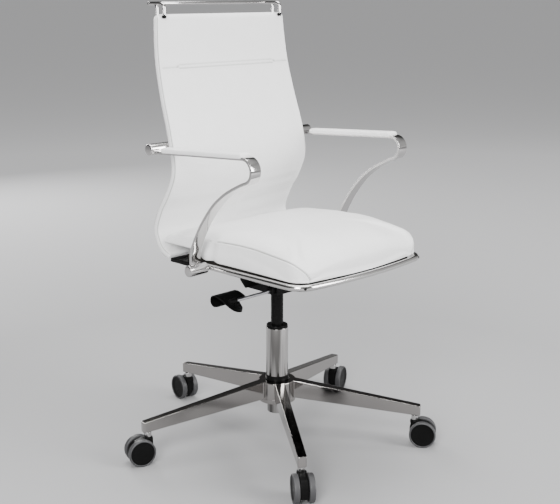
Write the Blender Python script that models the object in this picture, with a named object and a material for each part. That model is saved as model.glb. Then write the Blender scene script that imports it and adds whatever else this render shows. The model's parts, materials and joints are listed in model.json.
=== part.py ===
"""Swivel office armchair on a five-arm base.

Twin-wheel casters, a gas spring, a rocking seat mechanism with a release lever, a padded seat
inside a chrome tube, and a curved upholstered back that two chrome strap arms join to the seat.

Metres, +Z up. The chair faces -Y and +X is the sitter's left. The origin is on the floor, under
the middle of the chair's bounding box.
"""

import math

import bmesh
import bpy
from mathutils import Matrix, Vector

GAP = 0.0003            # clearance between pieces that touch

# Where the gas spring's axis stands on the floor, as the casters lie at rest.
COLUMN_Y = -0.0299

# Base
ARM_COUNT = 5
ARM_ANGLES = [-36.0 + 72.0 * k for k in range(ARM_COUNT)]   # 0 points at the front, -Y
STEM_RADIUS = 0.3143    # column axis to caster stem
ARM_TIP = 0.3265
ARM_ROOT = 0.046
ARM_ROOT_HALF = 0.0115
ARM_TIP_HALF = 0.0096
ARM_TOP = (0.1390, 0.0935)      # at the root and at the tip
ARM_UNDER = (0.0980, 0.0710)

# Casters: trailing direction of each at rest, degrees from +X
CASTER_TRAIL = 0.018
CASTER_HEADINGS = [233.6, 305.6, 22.3, 81.8, 159.4]
WHEEL_RADIUS = 0.030
WHEEL_WIDTH = 0.0125
CASTER_HALF_WIDTH = 0.022
WHEEL_SIDES = 20
STEM_FOOT = 0.0600      # height of the chrome collar's lower face

# Column
TUBE_RADIUS = 0.025
TUBE_FOOT_RADIUS = 0.0222
TUBE_FOOT = 0.062
TUBE_TOP = 0.262
TUBE_SIDES = 28
CYLINDER_RADIUS = 0.014
CYLINDER_FOOT = 0.150
CYLINDER_TOP = 0.378

# Mechanism
HOUSING_HALF_X = 0.049
HOUSING_Y = (-0.049, 0.055)
HOUSING_Z = (0.354, 0.392)
SHEET_METAL = 0.003
TILT_PIVOT = Vector((0.0, -0.030, 0.384))
LEVER_Y = -0.036
LEVER_Z = 0.3635
LEVER_PIVOT = Vector((-0.0475, LEVER_Y, LEVER_Z))
LEVER_RADIUS = 0.0035

# Seat
PAN_TOP = 0.4290
PAN_THICK = 0.009
SEAT_HALF = 0.193       # tube centreline: half width, front, corner radius, bow of the front
SEAT_FRONT = 0.2595
SEAT_CORNER = 0.041
SEAT_BOW = 0.011
TUBE_R = 0.0065
TUBE_Z = 0.435
TUBE_RISE = 0.0081      # rise per metre towards the front
CUSHION_FOOT = 0.4442
CUSHION_CROWN = 0.5175
CUSHION_REAR = 0.166

# Back: front face of the upholstered sheet from top to bottom as (Y, Z), and its half widths
SHEET_THICK = 0.016
SHEET_FACE = [
    (0.1700, 0.9570), (0.1660, 0.9000), (0.1580, 0.8440), (0.1395, 0.7740), (0.1200, 0.7140),
    (0.1060, 0.6550), (0.1070, 0.6140), (0.1285, 0.5690), (0.1520, 0.5340), (0.1690, 0.4940),
    (0.1648, 0.4721), (0.1525, 0.4535), (0.1270, 0.4415),
]
SHEET_END = Vector((0.0, 0.0099, -0.0113))      # across the thickness at the lower end
SHEET_WIDTHS = [(0.44, 0.2010), (0.56, 0.2020), (0.68, 0.2020), (0.79, 0.1980), (0.88, 0.1940),
                (0.957, 0.1890)]

# Arms
STRAP_X = 0.2265        # centre of the strap
STRAP_HALF = 0.0130
STRAP_THICK = 0.006
BOSS_RADIUS = 0.0123
LOWER_BOSS = (0.013, 0.434)     # Y, Z
CROSSBAR = (0.1396, 0.6757)
CROSSBAR_END = 0.2462
LOWER_BOSS_END = 0.2490
BEND_CENTRE = (-0.1425, 0.6620)
BEND_RADIUS = 0.0247
STRAP_RISE = [
    (0.0160, 0.4466), (0.0148, 0.4700), (0.0075, 0.4900), (-0.0040, 0.5120), (-0.0240, 0.5435),
    (-0.0556, 0.5812), (-0.0900, 0.6085), (-0.1225, 0.6265),
]
PAD_WIDTH = 0.028
PAD_HEIGHT = 0.0080

# Coat rail
RAIL_Y = 0.216
RAIL_Z = 0.979
RAIL_RADIUS = 0.004
RAIL_HALF = 0.1775
HOOK_X = 0.1735
HOOK_RADIUS = 0.0038
HOOK_FRONT_Y = 0.1655
HOOK_REAR_Y = 0.1906


# ---------------------------------------------------------------- scene and finishes

def clear_scene():
    for obj in list(bpy.data.objects):
        bpy.data.objects.remove(obj, do_unlink=True)


def finish(name, colour, roughness, metallic=0.0):
    material = bpy.data.materials.new(name)
    material.use_nodes = True
    shader = material.node_tree.nodes["Principled BSDF"]
    shader.inputs["Base Color"].default_value = (*colour, 1.0)
    shader.inputs["Roughness"].default_value = roughness
    shader.inputs["Metallic"].default_value = metallic
    material.diffuse_color = (*colour, 1.0)
    return material


def pivot(name, location, parent=None, heading=0.0):
    """An empty on a joint's axis; the pieces that move about it are its children."""
    empty = bpy.data.objects.new(name, None)
    bpy.context.collection.objects.link(empty)
    empty.empty_display_size = 0.02
    empty.location = location
    empty.rotation_euler = (0.0, 0.0, math.radians(heading))
    empty.parent = parent
    return empty


def link(name, bm, material, parent, local=False, smooth=True):
    """Turns a bmesh into a named object. Its points are in the column's frame unless local."""
    if not local:
        bmesh.ops.translate(bm, verts=bm.verts, vec=-parent.location)
    bmesh.ops.recalc_face_normals(bm, faces=bm.faces)
    mesh = bpy.data.meshes.new(name)
    bm.to_mesh(mesh)
    bm.free()
    if smooth:
        mesh.shade_smooth()
        mesh.set_sharp_from_angle(angle=math.radians(35))
    obj = bpy.data.objects.new(name, mesh)
    bpy.context.collection.objects.link(obj)
    obj.parent = parent
    if material:
        obj.data.materials.append(material)
    return obj


def boolean(obj, tool, operation, local=False):
    """Cuts the tool bmesh from the object, or joins it on."""
    guide = link(obj.name + "_" + operation.lower() + str(len(obj.modifiers)), tool, None,
                 obj.parent, local)
    guide.hide_render = True
    guide.display_type = "WIRE"
    modifier = obj.modifiers.new(operation.title(), "BOOLEAN")
    modifier.operation = operation
    modifier.solver = "EXACT"
    modifier.object = guide


def cut(obj, tool, local=False):
    boolean(obj, tool, "DIFFERENCE", local)


def join(obj, tool, local=False):
    boolean(obj, tool, "UNION", local)


# ---------------------------------------------------------------- shapes

def lathe(outline, sides, phase=0.0):
    """A solid turned round Z from a closed outline of (radius, height)."""
    bm = bmesh.new()
    turns = [2 * math.pi * (k + phase) / sides for k in range(sides)]
    rings = []
    for radius, height in outline:
        if radius == 0:
            rings.append([bm.verts.new((0, 0, height))])
        else:
            rings.append([bm.verts.new((radius * math.cos(a), radius * math.sin(a), height))
                          for a in turns])
    for ring, following in zip(rings, rings[1:] + rings[:1]):
        if len(ring) == len(following) == 1:
            continue
        for j in range(sides):
            k = (j + 1) % sides
            corners = (ring[j % len(ring)], ring[k % len(ring)],
                       following[k % len(following)], following[j % len(following)])
            bm.faces.new(list(dict.fromkeys(corners)))
    return bm


def turned(outline, sides, centre, axis="Z", phase=0.0):
    """A lathe solid whose axis lies along X, Y or Z through a centre."""
    bm = lathe(outline, sides, phase)
    if axis == "X":
        bmesh.ops.rotate(bm, verts=bm.verts, matrix=Matrix.Rotation(math.pi / 2, 3, "Y"))
    elif axis == "Y":
        bmesh.ops.rotate(bm, verts=bm.verts, matrix=Matrix.Rotation(-math.pi / 2, 3, "X"))
    bmesh.ops.translate(bm, verts=bm.verts, vec=centre)
    return bm


def cylinder(radius, low, high, sides, centre=(0, 0, 0), axis="Z", phase=0.0):
    return turned([(0, low), (radius, low), (radius, high), (0, high)], sides, centre, axis, phase)


def loft(rings):
    """A solid through rings of equal length, closed by a flat cap at each end."""
    bm = bmesh.new()
    rows = [[bm.verts.new(point) for point in ring] for ring in rings]
    for row, following in zip(rows, rows[1:]):
        for j in range(len(row)):
            k = (j + 1) % len(row)
            bm.faces.new((row[j], row[k], following[k], following[j]))
    bm.faces.new(rows[0])
    bm.faces.new(rows[-1])
    return bm


def prism(outline, offset):
    """A flat outline of 3-D points pushed along a vector."""
    return loft([outline, [Vector(point) + Vector(offset) for point in outline]])


def box(low, high):
    (x0, y0, z0), (x1, y1, z1) = low, high
    floor = [Vector((x0, y0, z0)), Vector((x1, y0, z0)), Vector((x1, y1, z0)), Vector((x0, y1, z0))]
    return prism(floor, (0, 0, z1 - z0))


def together(parts):
    """Several separate solids in one mesh, for a cutter that drills a row of holes."""
    bm = bmesh.new()
    for part in parts:
        scratch = bpy.data.meshes.new("scratch")
        part.to_mesh(scratch)
        part.free()
        bm.from_mesh(scratch)
        bpy.data.meshes.remove(scratch)
    return bm


def circle(radius, sides):
    return [(radius * math.cos(2 * math.pi * k / sides), radius * math.sin(2 * math.pi * k / sides))
            for k in range(sides)]


def tangents(path):
    ends = [path[0]] + list(path) + [path[-1]]
    return [(after - before).normalized() for before, after in zip(ends, ends[2:])]


def sweep(path, section, side=None):
    """A section of (side, up) offsets carried along a path.

    A flat path gives its own side direction; without one the section turns as little as it can.
    """
    path = [Vector(point) for point in path]
    ways = tangents(path)
    across = Vector(side) if side else ways[0].orthogonal().normalized()
    rings = []
    for i, (point, way) in enumerate(zip(path, ways)):
        if side is None:
            across = (across - way * across.dot(way)).normalized()
        up = across.cross(way)
        outline = section(i) if callable(section) else section
        rings.append([point + across * a + up * b for a, b in outline])
    return loft(rings)


def smooth_curve(points, steps):
    """A Catmull-Rom curve through points, with so many steps between two of them."""
    points = [Vector(p) for p in points]
    padded = [2 * points[0] - points[1]] + points + [2 * points[-1] - points[-2]]
    curve = []
    for a, b, c, d in zip(padded, padded[1:], padded[2:], padded[3:]):
        for k in range(steps):
            t = k / steps
            curve.append(0.5 * (2 * b + (c - a) * t + (2 * a - 5 * b + 4 * c - d) * t ** 2
                                + (3 * b - a - 3 * c + d) * t ** 3))
    return curve + [points[-1]]


def rounded(points, radius, steps=4):
    """A path of straight runs with an arc at each inner corner."""
    points = [Vector(p) for p in points]
    path = [points[0]]
    for before, corner, after in zip(points, points[1:], points[2:]):
        arrive = (corner - before).normalized()
        leave = (after - corner).normalized()
        half = arrive.angle(leave) / 2
        reach = radius * math.tan(half)
        centre = corner + (leave - arrive).normalized() * (radius / math.cos(half))
        start = corner - arrive * reach - centre
        end = corner + leave * reach - centre
        for k in range(steps + 1):
            blend = start.lerp(end, k / steps)
            path.append(centre + blend.normalized() * radius)
    return path + [points[-1]]


def yz(points, x=0.0):
    return [Vector((x, y, z)) for y, z in points]


def interpolate(table, value):
    """Straight-line reading from a table of (position, value) in rising order."""
    if value <= table[0][0]:
        return table[0][1]
    for (p0, v0), (p1, v1) in zip(table, table[1:]):
        if value <= p1:
            return v0 + (v1 - v0) * (value - p0) / (p1 - p0)
    return table[-1][1]


def smoothstep(t):
    t = min(max(t, 0.0), 1.0)
    return t * t * (3 - 2 * t)


def bolt(spot, head_radius, head_height, shank_radius, shank_length):
    """A bolt that points up, from the middle of the face that its head bears on."""
    outline = [(0, -head_height), (head_radius, -head_height), (head_radius, 0), (shank_radius, 0),
               (shank_radius, shank_length), (0, shank_length)]
    return turned(outline, 8, spot)


def drills(spots, radius, low, high, axis="Z"):
    return together([cylinder(radius, low, high, 8, spot, axis) for spot in spots])


# ---------------------------------------------------------------- base

def arm_direction(angle):
    a = math.radians(angle)
    return Vector((math.sin(a), -math.cos(a), 0.0))


def stem_position(angle):
    return arm_direction(angle) * STEM_RADIUS


def tube_taper(z):
    """Radius of the outer tube's tapered foot, which wedges into the hub."""
    slope = (TUBE_RADIUS - 0.0005 - TUBE_FOOT_RADIUS) / (ARM_TOP[0] - TUBE_FOOT)
    return TUBE_FOOT_RADIUS + slope * (z - TUBE_FOOT)


def star_base(chair, material):
    """Five tapered box arms that grow out of a bored hub, with a vertical fillet between arms."""
    corner = 0.005
    fillet = [(24.0, 0.0400), (36.0, 0.0365), (48.0, 0.0400)]   # angle past the arm, radius
    outline = []
    for angle in ARM_ANGLES:
        along = arm_direction(angle)
        left = Vector((-along.y, along.x, 0.0))
        sector = [(ARM_ROOT, -ARM_ROOT_HALF)]
        for sign in (-1, 1):
            turn = [(ARM_TIP - corner * (1 - math.sin(a)),
                     sign * (ARM_TIP_HALF - corner * (1 - math.cos(a))))
                    for a in (0.0, math.pi / 4, math.pi / 2)]
            sector += turn if sign < 0 else turn[::-1]
        sector.append((ARM_ROOT, ARM_ROOT_HALF))
        for k, (reach, aside) in enumerate(sector):
            share = (reach - ARM_ROOT) / (ARM_TIP - ARM_ROOT)
            outline.append((along * reach + left * aside, share, k in (0, len(sector) - 1)))
        for past, radius in fillet:
            spot = Matrix.Rotation(math.radians(past), 3, "Z") @ along * radius
            outline.append((spot, 0.0, True))

    bm = bmesh.new()
    layers = []
    per_arm = len(outline) // ARM_COUNT
    for root_z, tip_z in (ARM_TOP, ARM_UNDER):
        edge = [bm.verts.new((p.x, p.y, root_z + (tip_z - root_z) * share)) for p, share, _ in outline]
        bm.faces.new([v for v, (_, _, on_hub) in zip(edge, outline) if on_hub])
        for arm in range(ARM_COUNT):
            start = arm * per_arm
            bm.faces.new(edge[start:start + per_arm - len(fillet)])
        layers.append(edge)
    for j in range(len(outline)):
        k = (j + 1) % len(outline)
        bm.faces.new((layers[0][j], layers[0][k], layers[1][k], layers[1][j]))
    base = link("star_base", bm, material, chair)
    bore = [(0, 0.09), (tube_taper(0.09) + GAP, 0.09), (tube_taper(0.145) + GAP, 0.145), (0, 0.145)]
    cut(base, lathe(bore, TUBE_SIDES))
    sockets = together([cylinder(0.0058, 0.060, 0.0898, 10, stem_position(a)) for a in ARM_ANGLES])
    cut(base, sockets)


def column(chair, chrome, black, steel):
    """Outer tube with its tapered foot, guide bush, collar, clip, and the fixed piston rod."""
    wall = 0.0235
    tube = [(0.0045, TUBE_FOOT), (TUBE_FOOT_RADIUS, TUBE_FOOT), (tube_taper(ARM_TOP[0]), ARM_TOP[0]),
            (TUBE_RADIUS, ARM_TOP[0] + 0.0010), (TUBE_RADIUS, TUBE_TOP), (wall, TUBE_TOP),
            (wall, 0.140), (TUBE_FOOT_RADIUS - 0.0015, TUBE_FOOT + 0.003), (0.0045, TUBE_FOOT + 0.003)]
    link("column_tube", lathe(tube, TUBE_SIDES), chrome, chair)

    inner = CYLINDER_RADIUS + GAP
    bush = [(inner, 0.185), (wall - GAP, 0.185), (wall - GAP, TUBE_TOP + GAP),
            (TUBE_RADIUS - 0.0004, TUBE_TOP + GAP), (TUBE_RADIUS - 0.0014, TUBE_TOP + 0.006),
            (inner, TUBE_TOP + 0.006)]
    link("guide_bush", lathe(bush, TUBE_SIDES), black, chair)

    ring = TUBE_RADIUS + 0.0004
    collar = [(ring, ARM_TOP[0] + GAP), (0.0268, ARM_TOP[0] + GAP), (0.0264, ARM_TOP[0] + 0.0115),
              (ring, ARM_TOP[0] + 0.0115)]
    link("hub_collar", lathe(collar, TUBE_SIDES), black, chair)

    link("retaining_clip", lathe([(0.0046, 0.0592), (0.0090, 0.0592), (0.0090, 0.0614),
                                  (0.0046, 0.0614)], 12), steel, chair)
    rod = [(0, 0.0585), (0.0042, 0.0585), (0.0042, 0.0705), (0.0050, 0.0705), (0.0050, 0.1950),
           (0.0112, 0.1950), (0.0112, 0.2050), (0, 0.2050)]
    link("piston_rod", lathe(rod, 12), steel, chair)


def gas_cylinder(lift, valve, black, steel):
    """Pressure tube that slides in the bush, with the release valve in its top."""
    outline = [(0.0054, CYLINDER_FOOT), (CYLINDER_RADIUS, CYLINDER_FOOT), (CYLINDER_RADIUS, 0.350),
               (0.0136, CYLINDER_TOP), (0.0034, CYLINDER_TOP), (0.0034, CYLINDER_TOP - 0.008),
               (0.0117, CYLINDER_TOP - 0.008), (0.0117, CYLINDER_FOOT + 0.006),
               (0.0054, CYLINDER_FOOT + 0.006)]
    link("gas_cylinder", lathe(outline, 24), black, lift)
    link("release_valve", cylinder(0.0030, CYLINDER_TOP - 0.006, CYLINDER_TOP + 0.0082, 10), steel, valve)


# ---------------------------------------------------------------- casters

def caster(index, angle, heading, chair, chrome, black, steel, grey):
    """One twin-wheel caster, trailing along its own +X, with its stem on the empty's Z axis."""
    number = str(index + 1)
    spot = stem_position(angle)
    swivel = pivot("caster_swivel_" + number, spot, chair, heading)

    foot, shoulder = STEM_FOOT, ARM_UNDER[1] - GAP
    stem = [(0, 0.0395), (0.0048, 0.0395), (0.0048, foot), (0.0080, foot), (0.0080, shoulder),
            (0.0055, shoulder), (0.0055, 0.0893), (0, 0.0893)]
    link("caster_stem_" + number, turned(stem, 10, spot), chrome, chair)

    web = 0.0085
    top = foot - GAP
    shell = 0.0225
    arc = [math.radians(a) for a in range(-160, 71, 23)]
    side = [(CASTER_TRAIL + shell * math.cos(a), WHEEL_RADIUS + shell * math.sin(a)) for a in arc]
    side += [(0.0095, top), (-0.0098, top), (-0.0098, 0.034)]
    hood = link("caster_hood_" + number, prism([(x, -web, z) for x, z in side], (0, 2 * web, 0)),
                black, swivel, local=True)
    join(hood, cylinder(0.0108, 0.0350, top - 0.0004, 14), local=True)
    axle_at = Vector((CASTER_TRAIL, 0, WHEEL_RADIUS))
    wheel_room = [cylinder(WHEEL_RADIUS + 0.0016, *sorted((sign * 0.0089, sign * 0.02)), 24,
                           axle_at, "Y") for sign in (-1, 1)]
    cut(hood, together(wheel_room), local=True)
    cut(hood, cylinder(0.0051, 0.0390, 0.0700, 10), local=True)
    cut(hood, cylinder(0.0034, -0.02, 0.02, 10, axle_at, "Y"), local=True)

    half = CASTER_HALF_WIDTH - 0.0040
    link("caster_axle_" + number, cylinder(0.0030, -half, half, 10, axle_at, "Y"), steel, swivel,
         local=True)

    rim = WHEEL_RADIUS / math.cos(math.pi / WHEEL_SIDES)
    outer, inner = CASTER_HALF_WIDTH, CASTER_HALF_WIDTH - WHEEL_WIDTH
    for label, sign in (("left", 1), ("right", -1)):
        outline = [(0.0034, inner), (rim - 0.0012, inner), (rim, inner + 0.0020), (rim, outer - 0.0022),
                   (rim - 0.0018, outer), (rim - 0.0040, outer), (0.0200, outer - 0.0022),
                   (0.0034, outer - 0.0030)]
        bm = turned([(r, sign * y) for r, y in outline], WHEEL_SIDES, (0, 0, 0), "Y", phase=0.5)
        wheel = link("wheel_" + label + "_" + number, bm, grey, swivel, local=True)
        wheel.location = axle_at


# ---------------------------------------------------------------- mechanism

def housing(swivel, black, steel):
    """Open-topped steel trough that sits on the gas spring's taper and holds the tilt axle."""
    (y0, y1), (z0, z1) = HOUSING_Y, HOUSING_Z
    x = HOUSING_HALF_X
    shell = link("mechanism_housing", box((-x, y0, z0), (x, y1, z1)), black, swivel, smooth=False)
    t = SHEET_METAL
    cut(shell, box((-x + t, y0 + t, z0 + t), (x - t, y1 - t, z1 + 0.01)))
    join(shell, cylinder(0.0205, z0 + 0.001, 0.3760, 20))
    cut(shell, cylinder(CYLINDER_RADIUS + GAP, z0 - 0.01, 0.390, 24))
    cut(shell, cylinder(0.0054, -0.1, 0.1, 12, (0, TILT_PIVOT.y, TILT_PIVOT.z), "X"))
    cut(shell, box((-x - 0.01, LEVER_Y - 0.0086, 0.3571), (-x + 0.01, LEVER_Y + 0.0086, 0.3712)))

    link("tilt_axle", cylinder(0.0050, -0.0580, 0.0580, 12, (0, TILT_PIVOT.y, TILT_PIVOT.z), "X"),
         steel, swivel)
    turns, wire, radius = 5, 0.0014, 0.0090
    steps = 10
    helix = [(-0.026 + 0.052 * k / (turns * steps),
              TILT_PIVOT.y + radius * math.cos(2 * math.pi * k / steps),
              TILT_PIVOT.z - radius * math.sin(2 * math.pi * k / steps))
             for k in range(turns * steps + 1)]
    link("torsion_spring", sweep(helix, circle(wire, 5)), steel, swivel)


PADDLE_WAVE = [(-0.0845, 0.3602), (-0.0753, 0.3560), (-0.0615, 0.3516), (-0.0477, 0.3536),
               (-0.0384, 0.3574), (-0.0260, 0.3622), (-0.0135, 0.3657), (0.0, 0.3685)]
PADDLE_FRONT = [(-0.1840, -0.0785), (-0.1790, -0.0755), (-0.1700, -0.0672), (-0.1590, -0.0560),
                (-0.1510, -0.0440), (-0.1430, -0.0330), (-0.1320, -0.0270), (-0.1200, -0.0240)]


def lever(slider, hinge, black, steel):
    """Release lever: a sliding bush in the housing wall, a bent rod and a wave-shaped paddle."""
    low, high = Vector((-0.0605, LEVER_Y - 0.0080, 0.3575)), Vector((-0.0395, LEVER_Y + 0.0080, 0.3708))
    bush = link("lever_bush", box(low, high), black, slider, smooth=False)
    cut(bush, box((-0.07, LEVER_Y - 0.0039, LEVER_Z - 0.0050), (-0.03, LEVER_Y + 0.0039, LEVER_Z + 0.0050)))

    over = 0.3900
    corners = [(-0.1660, LEVER_Y, LEVER_Z), (-0.0350, LEVER_Y, LEVER_Z), (-0.0350, -0.0110, LEVER_Z),
               (-0.0350, -0.0110, over), (0.0160, 0.0050, over)]
    link("lever_rod", sweep(rounded(corners, 0.0055, 3), circle(LEVER_RADIUS, 8)), steel, hinge)

    roll = [(0.0065 + 0.0105 * math.sin(a), 0.3585 + 0.0105 * math.cos(a))
            for a in (math.radians(d) for d in range(15, 196, 30))] + [(-0.0180, 0.3545)]
    half = 0.0013
    rings = []
    for x, front in PADDLE_FRONT:
        wave = [(y, interpolate(PADDLE_WAVE, y)) for y in (front * (1 - k / 7) for k in range(8))]
        middle = [Vector((x, y, z)) for y, z in wave + roll]
        ups = [Vector((1, 0, 0)).cross(way) * half for way in tangents(middle)]
        rings.append([p + u for p, u in zip(middle, ups)] + [p - u for p, u in zip(middle, ups)][::-1])
    paddle = link("lever_paddle", loft(rings), black, hinge)
    join(paddle, cylinder(0.0058, -0.1770, -0.1580, 10, (0, LEVER_Y, LEVER_Z), "X"))
    cut(paddle, cylinder(LEVER_RADIUS + GAP, -0.1660 - GAP, -0.1300, 10, (0, LEVER_Y, LEVER_Z), "X"))


def mounting_bracket(seat, black, steel):
    """Pressed bracket under the seat pan: top plate, two cheeks on the axle, two sloped wings."""
    top = PAN_TOP - PAN_THICK - GAP
    plate = 0.004
    y0, y1 = -0.070, 0.095
    half = 0.105
    outline = [(-half + 0.012, y0), (half - 0.012, y0), (half, y0 + 0.012), (half, y1 - 0.012),
               (half - 0.012, y1), (-half + 0.012, y1), (-half, y1 - 0.012), (-half, y0 + 0.012)]
    bracket = link("mounting_bracket", prism([(x, y, top - plate) for x, y in outline], (0, 0, plate)),
                   black, seat, smooth=False)
    cheek_x = HOUSING_HALF_X + 0.0025
    arc = [math.radians(a) for a in range(-170, 1, 34)]
    cheek = [(TILT_PIVOT.y + 0.0105 * math.cos(a), TILT_PIVOT.z + 0.0105 * math.sin(a)) for a in arc]
    cheek += [(0.020, top - plate / 2), (-0.050, top - plate / 2)]
    wing = [(cheek_x + 0.001, top - plate / 2), (0.1160, top - plate / 2), (0.1100, 0.391),
            (0.0960, 0.371), (cheek_x + 0.001, 0.371)]
    for sign in (-1, 1):
        join(bracket, prism([(sign * cheek_x, y, z) for y, z in cheek], (sign * SHEET_METAL, 0, 0)))
        join(bracket, prism([(sign * x, 0.0, z) for x, z in wing], (0, SHEET_METAL, 0)))
    cut(bracket, cylinder(0.0053, -0.1, 0.1, 12, (0, TILT_PIVOT.y, TILT_PIVOT.z), "X"))

    spots = [Vector((sx * 0.085, y, top - plate - GAP)) for sx in (-1, 1) for y in (-0.050, 0.070)]
    cut(bracket, drills(spots, 0.0034, -0.01, 0.01))
    for number, spot in enumerate(spots, 1):
        link("bracket_bolt_" + str(number), bolt(spot, 0.0065, 0.0045, 0.0030, 0.0110), steel, seat)
    return spots


# ---------------------------------------------------------------- seat

def seat_edge(inset, rear):
    """The seat's outline from the rear of the -X side round the front to the +X side."""
    half, front = SEAT_HALF - inset, SEAT_FRONT - inset
    corner = max(SEAT_CORNER - inset, 0.012)
    side = [(-half, rear + (corner - front - rear) * k / 7) for k in range(7)]
    turn = [(-half + corner * (1 - math.cos(a)), -front + corner * (1 - math.sin(a)))
            for a in (math.pi / 2 * k / 6 for k in range(7))]
    flat = half - corner
    bow = [(x, -front - SEAT_BOW * (1 - (x / flat) ** 2)) for x in (-flat * 0.75, -flat * 0.5, -flat * 0.25)]
    left = side + turn + bow
    return left + [(0.0, -front - SEAT_BOW)] + [(-x, y) for x, y in left[::-1]]


def seat_pan(seat, bolt_spots, black, wood):
    """Steel pan, wide behind the side tubes only, and the plywood board the cushion is built on."""
    half, step, wing, rear, middle = SEAT_HALF - TUBE_R - GAP - 0.0004, 0.0400, 0.1080, 0.1470, 0.1360
    edge = [(-half, rear), (-half, step)] + seat_edge(0.0480, step) + [(half, step), (half, rear)]
    edge += [(wing, rear), (wing, middle), (-wing, middle), (-wing, rear)]
    pan = link("seat_pan", prism([(x, y, PAN_TOP - PAN_THICK) for x, y in edge], (0, 0, PAN_THICK)),
               black, seat, smooth=False)
    cut(pan, drills(bolt_spots, 0.0034, 0.0, 0.0118))
    board = seat_edge(0.0180, 0.1000)
    low, high = PAN_TOP + GAP, CUSHION_FOOT - GAP
    link("seat_board", prism([(x, y, low) for x, y in board], (0, 0, high - low)), wood, seat,
         smooth=False)
    return pan


def seat_tube(seat, chrome):
    """Bent chrome tube along both sides and the front of the seat."""
    edge = seat_edge(0.0, 0.0255)
    path = [Vector((x, y, TUBE_Z - TUBE_RISE * y)) for x, y in edge]
    link("seat_tube", sweep(path, circle(TUBE_R, 10), (0, 0, 1)), chrome, seat)


def cushion_crown(y):
    rise = max(y + 0.138, 0.0) / 0.258
    return CUSHION_CROWN - 0.0265 * rise ** 2


def corner_drop(x, y):
    """How much lower the cushion is towards its two front corners."""
    forward = max(-y - 0.090, 0.0) / 0.150
    return 0.018 * forward ** 2 * smoothstep((abs(x) - 0.060) / 0.120)


def seat_cushion(seat, leather):
    """Padded seat: upright sides, a front that rolls down to the tube, a thin tail to the back."""
    face = sheet_curve()
    low_face = [(p.z, p.y) for p in face if p.z < 0.56][::-1]
    low_face = [pair for k, pair in enumerate(low_face) if k == 0 or pair[0] > low_face[k - 1][0]]
    layers = [(0.0005, 0.0, 0.0, 0.0042), (-0.0028, 0.28, 0.36, 0.0042), (-0.0010, 0.53, 0.72, 0.0020),
              (0.006, 0.67, 0.83, 0.0), (0.020, 0.82, 0.93, 0.0), (0.045, 0.93, 1.0, 0.0),
              (0.085, 1.0, 1.02, 0.0)]
    rings = []
    for inset, at_front, at_side, set_back in layers:
        ring = []
        for x, y in seat_edge(inset, CUSHION_REAR - 0.3 * max(inset, 0.0)):
            foot = CUSHION_FOOT + 0.0153 * smoothstep((y - 0.025) / 0.040)
            share_front = smoothstep((-y - 0.205) / 0.050)
            share = at_side + (at_front - at_side) * share_front
            z = foot + share * (cushion_crown(y) - corner_drop(x, y) - foot)
            y += set_back * share_front
            if y > 0.10:
                y = min(y, interpolate(low_face, z) - 0.0012)
            ring.append((x, y, z))
        rings.append(ring)
    link("seat_cushion", loft(rings), leather, seat)


# ---------------------------------------------------------------- back

def sheet_curve(steps=3):
    """Front face of the back sheet, from its top edge down."""
    return smooth_curve(yz(SHEET_FACE), steps)


def sheet_backs(face):
    """Direction through the sheet at each point of its face. The lower end is cut off steeply."""
    backs = [Vector((0, -way.z, way.y)) for way in tangents(face)]
    backs[-1] = SHEET_END.normalized()
    return backs


def sheet_behind(distance):
    """The curve that lies a distance behind the sheet's front face."""
    face = sheet_curve()
    return [p + back * distance for p, back in zip(face, sheet_backs(face))]


def back_sheet(seat, leather):
    face = sheet_curve()
    backs = sheet_backs(face)
    edge = 0.004

    def section(i):
        half = interpolate(SHEET_WIDTHS, face[i].z)
        below_top = face[0].z - face[i].z
        if below_top < 0.009:
            half -= 0.009 - math.sqrt(0.009 ** 2 - (0.009 - below_top) ** 2)
        return [(-half + edge, 0), (half - edge, 0), (half, edge), (half, SHEET_THICK - edge),
                (half - edge, SHEET_THICK), (-half + edge, SHEET_THICK), (-half, SHEET_THICK - edge),
                (-half, edge)]

    rings = [[p + Vector((a, 0, 0)) + back * b for a, b in section(i)]
             for i, (p, back) in enumerate(zip(face, backs))]
    link("back_sheet", loft(rings), leather, seat)


def back_bracket(seat, pan, black, steel):
    """Bent steel plate bolted under the pan that follows the sheet's rear face upwards."""
    half, thick = 0.100, 0.005
    behind = [p for p in sheet_behind(SHEET_THICK + GAP + 0.0004 + thick / 2)
              if 0.436 < p.z < 0.600 and p.y > 0.14][::-1]
    level = PAN_TOP - PAN_THICK - GAP - thick / 2
    path = rounded([(0, 0.0990, level), (0, 0.1450, level), behind[0]], 0.012, 3) + behind[1:]
    section = [(-half, -thick / 2), (half, -thick / 2), (half, thick / 2), (-half, thick / 2)]
    plate = link("back_bracket", sweep(path, section, (1, 0, 0)), black, seat)
    spots = [Vector((x, 0.1170, level - thick / 2 - GAP)) for x in (-0.060, 0.060)]
    cut(plate, drills(spots, 0.0034, -0.01, 0.0064))
    cut(pan, drills(spots, 0.0034, 0.0, 0.0130))
    for number, spot in enumerate(spots, 1):
        link("back_bolt_" + str(number), bolt(spot, 0.0065, 0.0040, 0.0030, 0.0125), steel, seat)


def coat_rail(seat, chrome):
    """Welded wire rail behind the top edge, whose end brackets straddle the sheet."""
    rail = link("coat_rail", cylinder(RAIL_RADIUS, -RAIL_HALF, RAIL_HALF, 12,
                                      (0, RAIL_Y, RAIL_Z), "X"), chrome, seat)
    sheet_top = SHEET_FACE[0][1]
    for sign in (-1, 1):
        x = sign * HOOK_X
        front = rounded([(x, RAIL_Y, RAIL_Z), (x, HOOK_FRONT_Y, RAIL_Z),
                         (x, HOOK_FRONT_Y, sheet_top + 0.0030)], 0.009, 4)
        join(rail, sweep(front, circle(HOOK_RADIUS, 10), (1, 0, 0)))
        rear = rounded([(x, 0.2060, RAIL_Z), (x, HOOK_REAR_Y, RAIL_Z), (x, HOOK_REAR_Y, 0.9300)],
                       0.009, 4)
        join(rail, sweep(rear, circle(HOOK_RADIUS - 0.0002, 8), (1, 0, 0)))


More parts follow.
